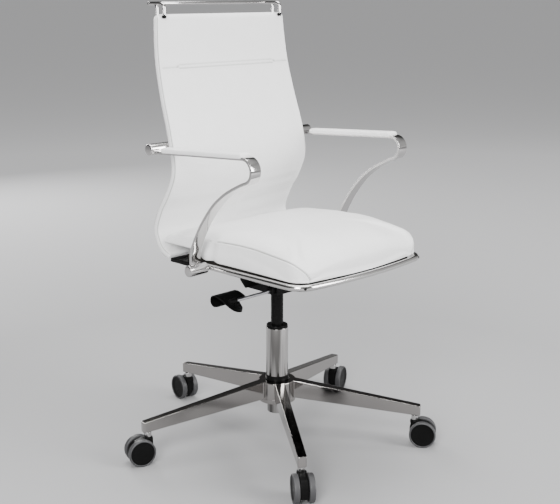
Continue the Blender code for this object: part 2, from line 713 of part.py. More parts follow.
# ---------------------------------------------------------------- arms

def strap_path():
    """Middle line of a strap from the lower boss, round the front bend, to the rear crossbar."""
    rise = yz(STRAP_RISE)
    y, z = BEND_CENTRE
    slope = math.radians(3.4)
    bend = [Vector((0, y + BEND_RADIUS * math.cos(a), z + BEND_RADIUS * math.sin(a)))
            for a in (math.radians(-100) - (math.radians(167) - slope) * k / 12 for k in range(13))]
    top = bend[-1]
    reach = CROSSBAR[0] - BOSS_RADIUS - 0.0006 - top.y
    end = top + Vector((0, reach, -reach * math.tan(slope)))
    run = [top.lerp(end, k / 3) for k in (1, 2, 3)]
    return smooth_curve(rise + bend[:1], 2)[:-1] + bend + run


def arms(seat, chrome, leather):
    half, thick = STRAP_HALF, STRAP_THICK / 2
    round_edge = 0.0014
    section = [(-half + round_edge, -thick), (half - round_edge, -thick), (half, -thick + round_edge),
               (half, thick - round_edge), (half - round_edge, thick), (-half + round_edge, thick),
               (-half, thick - round_edge), (-half, -thick + round_edge)]
    path = strap_path()
    rest = path[-4:]
    slope = (rest[3] - rest[0]).normalized()
    lift = Vector((0, -slope.z, slope.y))
    pad_start = rest[0] + slope * 0.004 + lift * (thick + GAP)
    pad_length = (rest[3] - rest[0]).length - 0.026
    for label, sign in (("right", -1), ("left", 1)):
        x = Vector((sign * STRAP_X, 0, 0))
        link("arm_strap_" + label, sweep([p + x for p in path], section, (1, 0, 0)), chrome, seat)
        link("arm_pad_" + label, pad_solid(pad_start + x, slope, lift, pad_length), leather, seat)
        ends = sorted((sign * LOWER_BOSS_END, sign * (SEAT_HALF + TUBE_R + 0.0004)))
        link("lower_boss_" + label, cylinder(BOSS_RADIUS, *ends, 16, (0, *LOWER_BOSS), "X"), chrome,
             seat)
    link("back_crossbar", cylinder(BOSS_RADIUS, -CROSSBAR_END, CROSSBAR_END, 16, (0, *CROSSBAR), "X"),
         chrome, seat)


def pad_solid(start, slope, lift, length):
    """Slim padded rest with rounded edges and ends, lying along the slope."""
    half = PAD_WIDTH / 2
    stations = [(0.0, 0.55), (0.003, 0.80), (0.010, 1.0), (length * 0.5, 1.0), (length - 0.010, 1.0),
                (length - 0.003, 0.80), (length, 0.55)]
    rings = []
    for along, share in stations:
        wide, high = half * (0.6 + 0.4 * share), PAD_HEIGHT * share
        outline = [(-wide + 0.001, 0), (wide - 0.001, 0), (wide, high * 0.35), (wide - 0.002, high * 0.8),
                   (wide - 0.007, high), (-wide + 0.007, high), (-wide + 0.002, high * 0.8),
                   (-wide, high * 0.35)]
        rings.append([start + slope * along + Vector((a, 0, 0)) + lift * b for a, b in outline])
    return loft(rings)


# ---------------------------------------------------------------- the chair

def build():
    clear_scene()
    chrome = finish("chrome", (0.78, 0.78, 0.79), 0.08, 1.0)
    polished = finish("polished_aluminium", (0.72, 0.71, 0.70), 0.18, 1.0)
    black = finish("black_plastic", (0.018, 0.018, 0.020), 0.42)
    enamel = finish("black_steel", (0.022, 0.022, 0.024), 0.38)
    steel = finish("zinc_steel", (0.50, 0.50, 0.52), 0.30, 1.0)
    grey = finish("grey_tread", (0.11, 0.11, 0.115), 0.55)
    leather = finish("white_leather", (0.82, 0.82, 0.82), 0.45)
    wood = finish("plywood", (0.55, 0.40, 0.25), 0.60)

    chair = pivot("chair", (0, COLUMN_Y, 0))
    chair.location = (0, 0, 0)
    star_base(chair, polished)
    column(chair, chrome, black, steel)
    for index, (angle, heading) in enumerate(zip(ARM_ANGLES, CASTER_HEADINGS)):
        caster(index, angle, heading, chair, chrome, black, steel, grey)

    lift = pivot("lift_axis", (0, 0, TUBE_TOP), chair)
    valve = pivot("valve_axis", (0, 0, CYLINDER_TOP), chair)
    gas_cylinder(lift, valve, enamel, steel)

    swivel = pivot("swivel_axis", (0, 0, HOUSING_Z[0]), chair)
    housing(swivel, enamel, steel)
    slider = pivot("lock_axis", LEVER_PIVOT, chair)
    hinge = pivot("lever_axis", LEVER_PIVOT, chair)
    lever(slider, hinge, black, steel)

    seat = pivot("tilt_axis", TILT_PIVOT, chair)
    bolt_spots = mounting_bracket(seat, enamel, steel)
    pan = seat_pan(seat, bolt_spots, enamel, wood)
    seat_tube(seat, chrome)
    seat_cushion(seat, leather)
    back_sheet(seat, leather)
    back_bracket(seat, pan, enamel, steel)
    coat_rail(seat, chrome)
    arms(seat, chrome, leather)
    chair.location = (0, COLUMN_Y, 0)


build()
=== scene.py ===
"""Looks of the swivel office armchair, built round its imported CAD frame."""
import json
import math

import bmesh
import bpy
from mathutils import Matrix, Vector
from mathutils.kdtree import KDTree


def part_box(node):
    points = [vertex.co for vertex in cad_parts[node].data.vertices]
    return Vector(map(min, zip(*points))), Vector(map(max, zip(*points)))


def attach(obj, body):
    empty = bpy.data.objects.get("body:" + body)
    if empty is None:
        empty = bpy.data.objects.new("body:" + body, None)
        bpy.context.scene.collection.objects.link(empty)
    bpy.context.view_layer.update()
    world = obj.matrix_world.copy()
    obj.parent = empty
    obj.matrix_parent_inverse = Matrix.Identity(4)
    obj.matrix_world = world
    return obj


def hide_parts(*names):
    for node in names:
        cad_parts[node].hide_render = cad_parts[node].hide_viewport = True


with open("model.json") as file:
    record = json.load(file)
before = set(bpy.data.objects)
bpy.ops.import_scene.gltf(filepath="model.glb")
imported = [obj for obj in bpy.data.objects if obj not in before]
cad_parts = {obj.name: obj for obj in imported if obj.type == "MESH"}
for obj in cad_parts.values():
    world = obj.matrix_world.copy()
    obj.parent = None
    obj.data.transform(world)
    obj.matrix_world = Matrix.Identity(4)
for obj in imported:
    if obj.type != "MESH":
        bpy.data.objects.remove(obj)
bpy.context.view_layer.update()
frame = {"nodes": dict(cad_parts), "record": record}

# The gas spring's axis: everything below is laid out round it.
low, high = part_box("gas_cylinder")
COLUMN = Vector(((low.x + high.x) / 2, (low.y + high.y) / 2, 0.0))
SLOT_OF = {part["node"]: part["material_slot"] for part in frame["record"]["subparts"]}
SIDES = (("right", -1), ("left", 1))


def add_object(name, data):
    obj = bpy.data.objects.new(name, data)
    bpy.context.scene.collection.objects.link(obj)
    return obj


def aimed(name, data, place, target):
    """Adds a camera or a light that looks from one point at another."""
    obj = add_object(name, data)
    obj.location = place
    obj.rotation_euler = (Vector(target) - Vector(place)).to_track_quat("-Z", "Y").to_euler()
    return obj


def mesh_of(bm, name):
    """Turns a bmesh into a mesh, and frees it."""
    mesh = bpy.data.meshes.new(name)
    bm.to_mesh(mesh)
    bm.free()
    return mesh


# ----- camera

def add_camera():
    data = bpy.data.cameras.new("camera")
    data.lens = 68.13
    data.sensor_width = 36.0
    data.shift_x = 0.0052
    data.shift_y = -0.0857
    place = Vector((-1.6221, -1.6236, 1.006)) + COLUMN
    target = Vector((0.0, 0.0, 0.544)) + COLUMN
    bpy.context.scene.camera = aimed("camera", data, place, target)


add_camera()


# ----- materials

def node(tree, kind, **values):
    """A shader node, with inputs or settings given by their names."""
    made = tree.nodes.new(kind)
    for key, value in values.items():
        if key in made.inputs:
            made.inputs[key].default_value = value
        else:
            setattr(made, key, value)
    return made


def base_material(name, colour, roughness, metallic=0.0, specular=0.5):
    material = bpy.data.materials.new(name)
    material.use_nodes = True
    tree = material.node_tree
    shader = tree.nodes["Principled BSDF"]
    shader.inputs["Base Color"].default_value = (*colour, 1.0)
    shader.inputs["Roughness"].default_value = roughness
    shader.inputs["Metallic"].default_value = metallic
    shader.inputs["Specular IOR Level"].default_value = specular
    coordinates = node(tree, "ShaderNodeTexCoord")
    return material, tree, shader, coordinates.outputs["Object"]


def noise(tree, place, scale, detail=3.0, roughness=0.5):
    made = node(tree, "ShaderNodeTexNoise", Scale=scale, Detail=detail, Roughness=roughness)
    tree.links.new(place, made.inputs["Vector"])
    return made.outputs["Fac"]


def ramp(tree, value, low_value, high_value, start=0.3, stop=0.7, **settings):
    """Maps a noise value to a range, as a roughness or a shade."""
    made = node(tree, "ShaderNodeMapRange", **settings)
    made.inputs["From Min"].default_value = start
    made.inputs["From Max"].default_value = stop
    made.inputs["To Min"].default_value = low_value
    made.inputs["To Max"].default_value = high_value
    tree.links.new(value, made.inputs["Value"])
    return made.outputs["Result"]


def stretched(tree, place, scale):
    """Coordinates with a scale of their own along each axis."""
    made = node(tree, "ShaderNodeMapping")
    made.inputs["Scale"].default_value = scale
    tree.links.new(place, made.inputs["Vector"])
    return made.outputs["Vector"]


def bump(tree, shader, height, distance, strength=1.0, under=None):
    """Adds relief to a shader, over another relief if one is given."""
    made = node(tree, "ShaderNodeBump", Strength=strength, Distance=distance)
    tree.links.new(height, made.inputs["Height"])
    if under is not None:
        tree.links.new(under, made.inputs["Normal"])
    tree.links.new(made.outputs["Normal"], shader.inputs["Normal"])
    return made.outputs["Normal"]


def gloss(tree, shader, value, smooth, rough):
    """Lets a noise value vary the roughness."""
    tree.links.new(ramp(tree, value, smooth, rough), shader.inputs["Roughness"])


def blend_colours(tree, factor, first, second):
    made = node(tree, "ShaderNodeMix", data_type="RGBA")
    made.inputs["A"].default_value = (*first, 1.0)
    made.inputs["B"].default_value = (*second, 1.0)
    tree.links.new(factor, made.inputs["Factor"])
    return made.outputs["Result"]


def leather(name, tone):
    """Pale leatherette: pebbled grain, faint mottling, and painted shade down in the seams and
    pinches.
    """
    material, tree, shader, place = base_material(name, (tone, tone, tone), 0.46, specular=0.42)
    shader.inputs["Sheen Weight"].default_value = 0.08
    shader.inputs["Sheen Roughness"].default_value = 0.5
    mottled = ramp(tree, noise(tree, place, 26.0, 4.0), 0.0, 1.0)
    plain = blend_colours(tree, mottled, (tone * 0.975, tone * 0.975, tone * 0.97),
                          (tone, tone, tone))
    # Painted shade: the seam attribute darkens the colour down in seams and pinches.
    seam = node(tree, "ShaderNodeAttribute", attribute_name="seam")
    seam_shaded = node(tree, "ShaderNodeMix", data_type="RGBA")
    seam_shaded.inputs["B"].default_value = (tone * 0.22, tone * 0.22, tone * 0.21, 1.0)
    tree.links.new(plain, seam_shaded.inputs["A"])
    tree.links.new(seam.outputs["Fac"], seam_shaded.inputs["Factor"])
    tree.links.new(seam_shaded.outputs["Result"], shader.inputs["Base Color"])
    gloss(tree, shader, noise(tree, place, 60.0), 0.40, 0.52)

    cells = node(tree, "ShaderNodeTexVoronoi", feature="SMOOTH_F1", Scale=1100.0, Smoothness=0.6)
    warp = node(tree, "ShaderNodeTexNoise", Scale=300.0, Detail=2.0)
    stir = node(tree, "ShaderNodeMix", data_type="VECTOR", Factor=0.004)
    tree.links.new(place, warp.inputs["Vector"])
    tree.links.new(place, stir.inputs["A"])
    tree.links.new(warp.outputs["Color"], stir.inputs["B"])
    tree.links.new(stir.outputs["Result"], cells.inputs["Vector"])
    grain = bump(tree, shader, cells.outputs["Distance"], 0.00022, 0.55)
    bump(tree, shader, noise(tree, place, 38.0, 2.0), 0.0012, 0.10, grain)
    return material


def metal(name, colour, smooth, rough, wave=0.0, brushed=False):
    """Plated or polished metal, with handling marks in its gloss."""
    material, tree, shader, place = base_material(name, colour, smooth, 1.0)
    gloss(tree, shader, noise(tree, place, 34.0, 5.0, 0.6), smooth, rough)
    shade = blend_colours(tree, ramp(tree, noise(tree, place, 9.0), 0.0, 1.0),
                          tuple(c * 0.96 for c in colour), colour)
    tree.links.new(shade, shader.inputs["Base Color"])
    if brushed:
        lines = stretched(tree, place, (900.0, 900.0, 25.0))
        bump(tree, shader, noise(tree, lines, 1.0, 3.0), 0.00006, 0.5)
    elif wave:
        bump(tree, shader, noise(tree, place, 22.0, 1.0), 0.0004, wave)
    return material


def drawn_chrome(name):
    """Chrome on a drawn tube, with faint grooves along it that break up what it mirrors, and
    painted reflection: dark vertical bands in its colour.
    """
    material, tree, shader, place = base_material(name, (0.38, 0.375, 0.37), 0.06, 1.0)
    relief_and_painted_streaks = noise(tree, stretched(tree, place, (70.0, 70.0, 2.5)), 1.0, 2.0)
    # Painted reflection: the same noise that drives the relief darkens the colour in vertical
    # bands, standing in for dark surroundings mirrored in the tube.
    shade = blend_colours(tree, ramp(tree, relief_and_painted_streaks, 0.0, 1.0, 0.42, 0.56), (0.15, 0.145, 0.14),
                          (0.50, 0.49, 0.48))
    tree.links.new(shade, shader.inputs["Base Color"])
    gloss(tree, shader, noise(tree, place, 34.0, 5.0), 0.05, 0.12)
    bump(tree, shader, relief_and_painted_streaks, 0.0040, 0.6)
    return material


def plastic(name, colour, smooth, rough, grain, scale=1300.0, specular=0.5):
    """Moulded plastic or powder coat, with a fine texture."""
    material, tree, shader, place = base_material(name, colour, smooth, 0.0, specular)
    gloss(tree, shader, noise(tree, place, 48.0, 4.0), smooth, rough)
    shade = blend_colours(tree, ramp(tree, noise(tree, place, 18.0), 0.0, 1.0),
                          tuple(c * 0.85 for c in colour), tuple(c * 1.12 for c in colour))
    tree.links.new(shade, shader.inputs["Base Color"])
    bump(tree, shader, noise(tree, place, scale, 2.0), 0.00012, grain)
    return material


def plywood(name):
    """Plywood stained black, with its grain still showing a little."""
    material, tree, shader, place = base_material(name, (0.02, 0.018, 0.016), 0.6, specular=0.2)
    fibres = noise(tree, stretched(tree, place, (60.0, 4.0, 700.0)), 1.0, 5.0)
    wood = blend_colours(tree, ramp(tree, fibres, 0.0, 1.0), (0.008, 0.007, 0.006),
                         (0.030, 0.026, 0.022))
    tree.links.new(wood, shader.inputs["Base Color"])
    bump(tree, shader, fibres, 0.0002, 0.4)
    return material


WHITE_TONE = 0.84
CHROME = (0.56, 0.55, 0.545)
BLACK = (0.005, 0.005, 0.005)
MATERIALS = {
    "white_leatherette": leather("white_leatherette", WHITE_TONE),
    "seat_padding": leather("seat_padding", WHITE_TONE),
    "chrome": metal("chrome", CHROME, 0.03, 0.08, wave=0.03),
    "satin_chrome": metal("satin_chrome", (0.62, 0.61, 0.60), 0.13, 0.20),
    "rubbed_chrome": metal("rubbed_chrome", CHROME, 0.07, 0.12),
    "drawn_chrome": drawn_chrome("drawn_chrome"),
    "polished_aluminium": metal("polished_aluminium", (0.36, 0.345, 0.335), 0.05, 0.11, wave=0.04),
    "zinc_steel": metal("zinc_steel", (0.52, 0.52, 0.54), 0.25, 0.38, brushed=True),
    "black_plastic": plastic("black_plastic", BLACK, 0.26, 0.40, 0.35, specular=0.06),
    "black_steel": plastic("black_steel", BLACK, 0.20, 0.32, 0.20, 700.0, specular=0.08),
    "grey_tread": plastic("grey_tread", (0.045, 0.045, 0.047), 0.42, 0.58, 0.45),
    "plywood": plywood("plywood"),
}


# ----- shapes

def evaluated_mesh(obj, kind, **settings):
    """Applies one modifier to a piece."""
    modifier = obj.modifiers.new(kind, kind)
    for key, value in settings.items():
        setattr(modifier, key, value)
    evaluated = obj.evaluated_get(bpy.context.evaluated_depsgraph_get())
    fine = bpy.data.meshes.new_from_object(evaluated)
    obj.modifiers.remove(modifier)
    obj.data = fine


def make(name, bm, slot, body, hides=(), more_slots=(), sharp=38.0, place=None, look=None,
         flat=False):
    """Turns a bmesh into a piece that rides on a body and stands for its CAD nodes.

    Look names another material than the slot's. Flat keeps big faces flat beside eased edges.
    """
    bm.transform(Matrix.Translation(COLUMN) @ (place or Matrix.Identity(4)))
    bmesh.ops.recalc_face_normals(bm, faces=bm.faces)
    mesh = mesh_of(bm, name)
    mesh.shade_smooth()
    if sharp:
        mesh.set_sharp_from_angle(angle=math.radians(sharp))
    obj = add_object(name, mesh)
    for each in (look or slot, *more_slots):
        mesh.materials.append(MATERIALS[each])
    if flat:
        evaluated_mesh(obj, "WEIGHTED_NORMAL", keep_sharp=True, weight=80)
    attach(obj, body)
    if hides:
        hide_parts(*hides)
    return obj


def ease(points, radius, steps=4, closed=True):
    """Rounds the corners of an outline or a path."""
    points = [Vector(p) for p in points]
    count = len(points)
    out = []
    for i, corner in enumerate(points):
        if not closed and i in (0, count - 1):
            out.append(corner)
            continue
        before, after = points[i - 1], points[(i + 1) % count]
        back, on = before - corner, after - corner
        start = corner + back.normalized() * min(radius, back.length * 0.49)
        end = corner + on.normalized() * min(radius, on.length * 0.49)
        for k in range(steps + 1):
            t = k / steps
            out.append(start * (1 - t) ** 2 + corner * 2 * t * (1 - t) + end * t ** 2)
    return out


def lathe(outline, sides):
    """A solid turned round Z from an outline of (radius, height), closed or ending on the axis."""
    bm = bmesh.new()
    rings = []
    for radius, height in outline:
        if radius < 1e-7:
            rings.append([bm.verts.new((0, 0, height))])
            continue
        rings.append([bm.verts.new((x, y, height)) for x, y in circle(radius, sides)])
    ends_on_axis = len(rings[0]) == 1 and len(rings[-1]) == 1
    pairs = list(zip(rings, rings[1:])) + ([] if ends_on_axis else [(rings[-1], rings[0])])
    for ring, following in pairs:
        for j in range(sides):
            k = (j + 1) % sides
            corners = (ring[j % len(ring)], ring[k % len(ring)],
                       following[k % len(following)], following[j % len(following)])
            bm.faces.new(list(dict.fromkeys(corners)))
    return bm


def turned(outline, radius, sides, solid=True, centre=(0, 0, 0), axis="Z"):
    """A lathe solid with eased corners, on an axis along X, Y or Z."""
    bm = lathe([(p.x, p.y) for p in ease([(r, z, 0) for r, z in outline], radius, 3,
                                        closed=not solid)], sides)
    if axis == "X":
        bm.transform(Matrix.Rotation(math.pi / 2, 4, "Y"))
    elif axis == "Y":
        bm.transform(Matrix.Rotation(-math.pi / 2, 4, "X"))
    bm.transform(Matrix.Translation(centre))
    return bm


def rod(radius, start, stop, easing, sides=40, centre=(0, 0, 0), axis="Z"):
    return turned([(0, start), (radius, start), (radius, stop), (0, stop)], easing, sides, True,
                  centre, axis)


def band(bm, ring, following):
    """Quads all the way round between two closed rings of points."""
    for j in range(len(ring)):
        k = (j + 1) % len(ring)
        bm.faces.new((ring[j], ring[k], following[k], following[j]))


def skin(bm, rings):
    """Rings of points joined one to the next, open at both ends."""
    rows = [[bm.verts.new(point) for point in ring] for ring in rings]
    for row, following in zip(rows, rows[1:]):
        band(bm, row, following)
    return rows


def loft(rings):
    """A closed solid through rings of points."""
    bm = bmesh.new()
    rows = skin(bm, rings)
    bm.faces.new(rows[0])
    bm.faces.new(rows[-1])
    return bm


def merge(*parts):
    """Several solids in one mesh."""
    whole = parts[0]
    for part in parts[1:]:
        scratch = mesh_of(part, "scratch")
        whole.from_mesh(scratch)
        bpy.data.meshes.remove(scratch)
    return whole


def bevelled(bm, width, segments=3, angle=32.0):
    """Rounds the edges that turn by more than an angle."""
    bmesh.ops.recalc_face_normals(bm, faces=bm.faces)
    edges = [e for e in bm.edges if len(e.link_faces) == 2
             and e.calc_face_angle(0.0) > math.radians(angle)]
    bmesh.ops.bevel(bm, geom=edges, offset=width, segments=segments, profile=0.5,
                    affect="EDGES", clamp_overlap=True)
    return bm


def prism(outline, offset):
    return loft([outline, [Vector(p) + Vector(offset) for p in outline]])


def box(corner, opposite):
    (x0, y0, z0), (x1, y1, z1) = corner, opposite
    return prism([Vector((x0, y0, z0)), Vector((x1, y0, z0)), Vector((x1, y1, z0)),
                  Vector((x0, y1, z0))], (0, 0, z1 - z0))


def circle(radius, sides):
    turns = [2 * math.pi * k / sides for k in range(sides)]
    return [(radius * math.cos(a), radius * math.sin(a)) for a in turns]


def squarish(angle):
    """A point on a unit circle that is swollen towards its corners."""
    c, n = math.cos(angle), math.sin(angle)
    return math.copysign(abs(c) ** 0.55, c), math.copysign(abs(n) ** 0.62, n)


def tangents(path):
    """The direction of a path at each of its points."""
    ends = [path[0]] + list(path) + [path[-1]]
    return [(after - before).normalized() for before, after in zip(ends, ends[2:])]


def sweep(path, section, side=None, tip=0.0):
    """A section carried along a path. A tip rounds the ends of the sweep by that length."""
    path = [Vector(point) for point in path]
    scales = [1.0] * len(path)
    if tip:
        first, last = (path[1] - path[0]).normalized(), (path[-1] - path[-2]).normalized()
        arc = [(tip * (1 - math.sin(a)), 1 - 0.35 * (1 - math.cos(a)))
               for a in (math.radians(d) for d in (80, 55, 30))]
        path = ([path[0] + first * d for d, _ in arc] + path[1:-1]
                + [path[-1] - last * d for d, _ in arc[::-1]])
        scales = [s for _, s in arc] + scales[2:] + [s for _, s in arc[::-1]]
    ways = tangents(path)
    across = Vector(side) if side else ways[0].orthogonal().normalized()
    rings = []
    for point, way, scale in zip(path, ways, scales):
        if side is None:
            across = (across - way * across.dot(way)).normalized()
        up = across.cross(way)
        rings.append([point + across * a * scale + up * b * scale for a, b in section])
    return loft(rings)


def smooth_curve(points, steps):
    """A Catmull-Rom curve through points."""
    points = [Vector(p) for p in points]
    padded = [2 * points[0] - points[1]] + points + [2 * points[-1] - points[-2]]
    curve = []
    for a, b, c, d in zip(padded, padded[1:], padded[2:], padded[3:]):
        for k in range(steps):
            t = k / steps
            curve.append(0.5 * (2 * b + (c - a) * t + (2 * a - 5 * b + 4 * c - d) * t ** 2
                                + (3 * b - a - 3 * c + d) * t ** 3))
    return curve + [points[-1]]


def evenly(path, spacing):
    """A path's points again, at an even spacing."""
    path = [Vector(p) for p in path]
    lengths = [(b - a).length for a, b in zip(path, path[1:])]
    total = sum(lengths)
    count = max(int(round(total / spacing)), 1)
    out, i, passed = [path[0]], 0, 0.0
    for k in range(1, count):
        wanted = total * k / count
        while passed + lengths[i] < wanted:
            passed += lengths[i]
            i += 1
        out.append(path[i].lerp(path[i + 1], (wanted - passed) / lengths[i]))
    return out + [path[-1]]


def interpolate(table, value):
    """Looks a value up in a table of pairs."""
    if value <= table[0][0]:
        return table[0][1]
    for (p0, v0), (p1, v1) in zip(table, table[1:]):
        if value <= p1:
            return v0 + (v1 - v0) * (value - p0) / (p1 - p0)
    return table[-1][1]


def smoothstep(t):
    t = min(max(t, 0.0), 1.0)
    return t * t * (3 - 2 * t)


def sew(obj, lines, depth, width, puff=0.35, shade=1.0):
    """Presses sewn seams into a piece's surface and paints shade along them: each line is a path
    that runs on or near it.
    """
    mesh = obj.data
    points = [p for line in lines for p in evenly(line, 0.0008)]
    tree = KDTree(len(points))
    for i, p in enumerate(points):
        tree.insert(p + COLUMN, i)
    tree.balance()
    seam = mesh.attributes.get("seam") or mesh.attributes.new("seam", "FLOAT", "POINT")
    moves = []
    for v in mesh.vertices:
        distance = tree.find(v.co)[2]
        if distance > 5 * width:
            continue
        fall = math.exp(-(distance / width) ** 2)
        rise = math.exp(-((distance - 2.4 * width) / (1.1 * width)) ** 2)
        moves.append((v.index, v.normal.copy() * (depth * (puff * rise - fall))))
        value = seam.data[v.index].value
        # Painted shade: the seam attribute, strongest on the line, later darkens the colour there.
        seam.data[v.index].value = max(value, shade * math.exp(-(distance / (0.8 * width)) ** 2))
    for index, move in moves:
        mesh.vertices[index].co += move
    mesh.update()


# ----- base

ARM_ANGLES = [-36.0 + 72.0 * k for k in range(5)]
STEM_RADIUS = 0.3143
HUB_RADIUS = 0.0420
ARM_HALF = (0.0115, 0.0096)         # half width at the root and at the tip
ARM_END = 0.3265
ARM_LEVEL = 0.040                   # the top and the underside slope down from this radius on
ARM_TOP = (0.1390, 0.0935)
ARM_UNDER = (0.0980, 0.0710)
TUBE_RADIUS = 0.025


def arm_direction(angle):
    a = math.radians(angle)
    return Vector((math.sin(a), -math.cos(a), 0.0))


def star_base():
    """Tapered box arms that run into a round hub, with fine eased edges all over."""
    root = math.sqrt(HUB_RADIUS ** 2 - ARM_HALF[0] ** 2)
    corner = 0.0045
    outline = []
    for angle in ARM_ANGLES:
        along = arm_direction(angle)
        left = Vector((-along.y, along.x, 0.0))
        spread = math.degrees(math.asin(ARM_HALF[0] / HUB_RADIUS))
        side = [(root, ARM_HALF[0])]
        side += [(ARM_END - corner * (1 - math.cos(a)), ARM_HALF[1] - corner * (1 - math.sin(a)))
                 for a in (math.pi / 2 * k / 5 for k in range(5, -1, -1))]
        sector = [(r, -w) for r, w in side] + [(r, w) for r, w in side[::-1]]
        for reach, aside in sector:
            share = max(reach - ARM_LEVEL, 0.0) / (ARM_END - ARM_LEVEL)
            outline.append((along * reach + left * aside, share))
        for k in range(1, 8):
            turn = math.radians(spread + (72 - 2 * spread) * k / 8)
            outline.append((Matrix.Rotation(turn, 3, "Z") @ along * HUB_RADIUS, 0.0))
    per_arm = len(outline) // 5
    bm = bmesh.new()
    layers = []
    for (root_z, tip_z), bore in ((ARM_TOP, 0.0268), (ARM_UNDER, 0.0238)):
        edge = [bm.verts.new((p.x, p.y, root_z + (tip_z - root_z) * s)) for p, s in outline]
        hub = []
        for arm, angle in enumerate(ARM_ANGLES):
            start = arm * per_arm
            first, last = edge[start], edge[start + per_arm - 8]
            turn0, turn1 = (math.atan2(v.co.y, v.co.x) for v in (first, last))
            if turn1 < turn0:
                turn1 += 2 * math.pi
            inner = [bm.verts.new((HUB_RADIUS * math.cos(a), HUB_RADIUS * math.sin(a), root_z))
                     for a in (turn0 + (turn1 - turn0) * k / 6 for k in range(1, 6))]
            bm.faces.new(edge[start:start + per_arm - 7] + inner[::-1])
            hub += [first] + inner + [last] + edge[start + per_arm - 7:start + per_arm]
        hole = [bm.verts.new((*(v.co.xy.normalized() * bore), root_z)) for v in hub]
        band(bm, hub, hole)
        layers.append((edge, hole))
    for top, under in zip(*layers):
        band(bm, top, under)
    bevelled(bm, 0.0014, 3, 40.0)
    rim = turned([(0.0240, 0.0905), (0.0422, 0.0905), (0.0422, 0.1005), (0.0240, 0.1005)],
                 0.0006, 72, solid=False)
    make("star_base_fine", merge(bm, rim), "polished_aluminium", "base", ["star_base"], flat=True)


def column():
    """Chrome tube, black bush and collar at its ends, and the gas spring's inner cylinder."""
    tube = [(0.0045, 0.062), (0.0222, 0.062), (0.0245, 0.139), (TUBE_RADIUS, 0.1405),
            (TUBE_RADIUS, 0.262), (0.0235, 0.262), (0.0235, 0.140), (0.0207, 0.065),
            (0.0045, 0.065)]
    bush = [(0.0143, 0.185), (0.0232, 0.185), (0.0232, 0.2623), (0.0247, 0.2623),
            (0.0238, 0.268), (0.0143, 0.268)]
    collar = [(0.0252, 0.1393), (0.0263, 0.1393), (0.0260, 0.1500), (0.0252, 0.1506)]
    spring = [(0.0054, 0.150), (0.014, 0.150), (0.014, 0.350), (0.0136, 0.378), (0.0034, 0.378),
              (0.0034, 0.370), (0.0117, 0.370), (0.0117, 0.156), (0.0054, 0.156)]
    for name, outline, easing, sides, slot, body, look in (
            ("column_tube", tube, 0.0006, 72, "chrome", "base", "drawn_chrome"),
            ("guide_bush", bush, 0.0009, 64, "black_plastic", "base", None),
            ("hub_collar", collar, 0.0004, 64, "black_plastic", "base", None),
            ("gas_cylinder", spring, 0.0006, 56, "black_steel", "lift", None)):
        make(f"{name}_fine", turned(outline, easing, sides, solid=False), slot, body, [name],
             look=look)


# ----- casters

CASTERS = [233.6, 305.6, 22.3, 81.8, 159.4]     # resting headings, degrees from +X
TRAIL = 0.018
WHEEL = 0.030


def wheel(name, place, body, node_name, sign):
    """Grey tread round a black dished disc, with a moulded step."""
    profile = [(0, 0.0100), (0.0040, 0.0100), (0.0225, 0.0106), (0.0242, 0.0095), (0.0284, 0.0095),
               (0.0300, 0.0112), (0.0300, 0.0203), (0.0284, 0.0220), (0.0266, 0.0220),
               (0.0262, 0.0206), (0.0254, 0.0203), (0.0170, 0.0194), (0, 0.0196)]
    eased = ease([(r, y, 0) for r, y in profile], 0.0010, 3, closed=False)
    bm = lathe([(p.x, p.y) for p in eased], 64)
    for face in bm.faces:
        centre = face.calc_center_median()
        if math.hypot(centre.x, centre.y) < 0.0260 and not (
                centre.z < 0.0099 and math.hypot(centre.x, centre.y) > 0.0243):
            face.material_index = 1
    bm.transform(Matrix.Rotation(-math.pi / 2 * sign, 4, "X"))
    bm.transform(Matrix.Translation((TRAIL, 0, WHEEL)))
    make(name, bm, "grey_tread", body, [node_name], ["black_plastic"], place=place)


def caster(number, angle, heading):
    """Stem on the base, hood that swivels, and two wheels that turn in it."""
    spot = arm_direction(angle) * STEM_RADIUS
    stem = [(0, 0.0395), (0.0048, 0.0395), (0.0048, 0.0600), (0.0080, 0.0600), (0.0080, 0.0707),
            (0.0055, 0.0707), (0.0055, 0.0893), (0, 0.0893)]
    make(f"caster_stem_fine_{number}", turned(stem, 0.0006, 32, centre=spot), "chrome", "base",
         [f"caster_stem_{number}"])
    place = Matrix.Translation(spot) @ Matrix.Rotation(math.radians(heading), 4, "Z")
    body = f"caster_{number}"
    shell = 0.0264
    side = [(TRAIL + shell * math.cos(a), 0, WHEEL + shell * math.sin(a))
            for a in (math.radians(d) for d in range(-35, 66, 10))]
    side += [(0.0096, 0, 0.0585), (-0.0094, 0, 0.0585), (-0.0098, 0, 0.0340), (-0.0036, 0, 0.0150)]
    fender = bevelled(prism([Vector((x, -0.0083, z)) for x, _, z in side], (0, 0.0166, 0)), 0.0012)
    socket = turned([(0.0051, 0.0515), (0.0104, 0.0515), (0.0108, 0.0575), (0.0096, 0.0597),
                     (0.0051, 0.0597)], 0.0012, 36, solid=False)
    make(f"caster_hood_fine_{number}", merge(fender, socket), "black_plastic", body,
         [f"caster_hood_{number}"], place=place, flat=True)
    for side, sign in (("left", 1), ("right", -1)):
        wheel(f"wheel_{side}_fine_{number}", place, f"wheel_{side}_body_{number}",
              f"wheel_{side}_{number}", sign)


# ----- lever

LEVER_Y, LEVER_Z = -0.036, 0.3635
# (x, y) along the paddle's front edge
PADDLE_FRONT = [(-0.1840, -0.0770), (-0.1825, -0.0783), (-0.1800, -0.0768), (-0.1700, -0.0672),
                (-0.1570, -0.0550), (-0.1510, -0.0430), (-0.1480, -0.0340), (-0.1400, -0.0275),
                (-0.1200, -0.0235)]


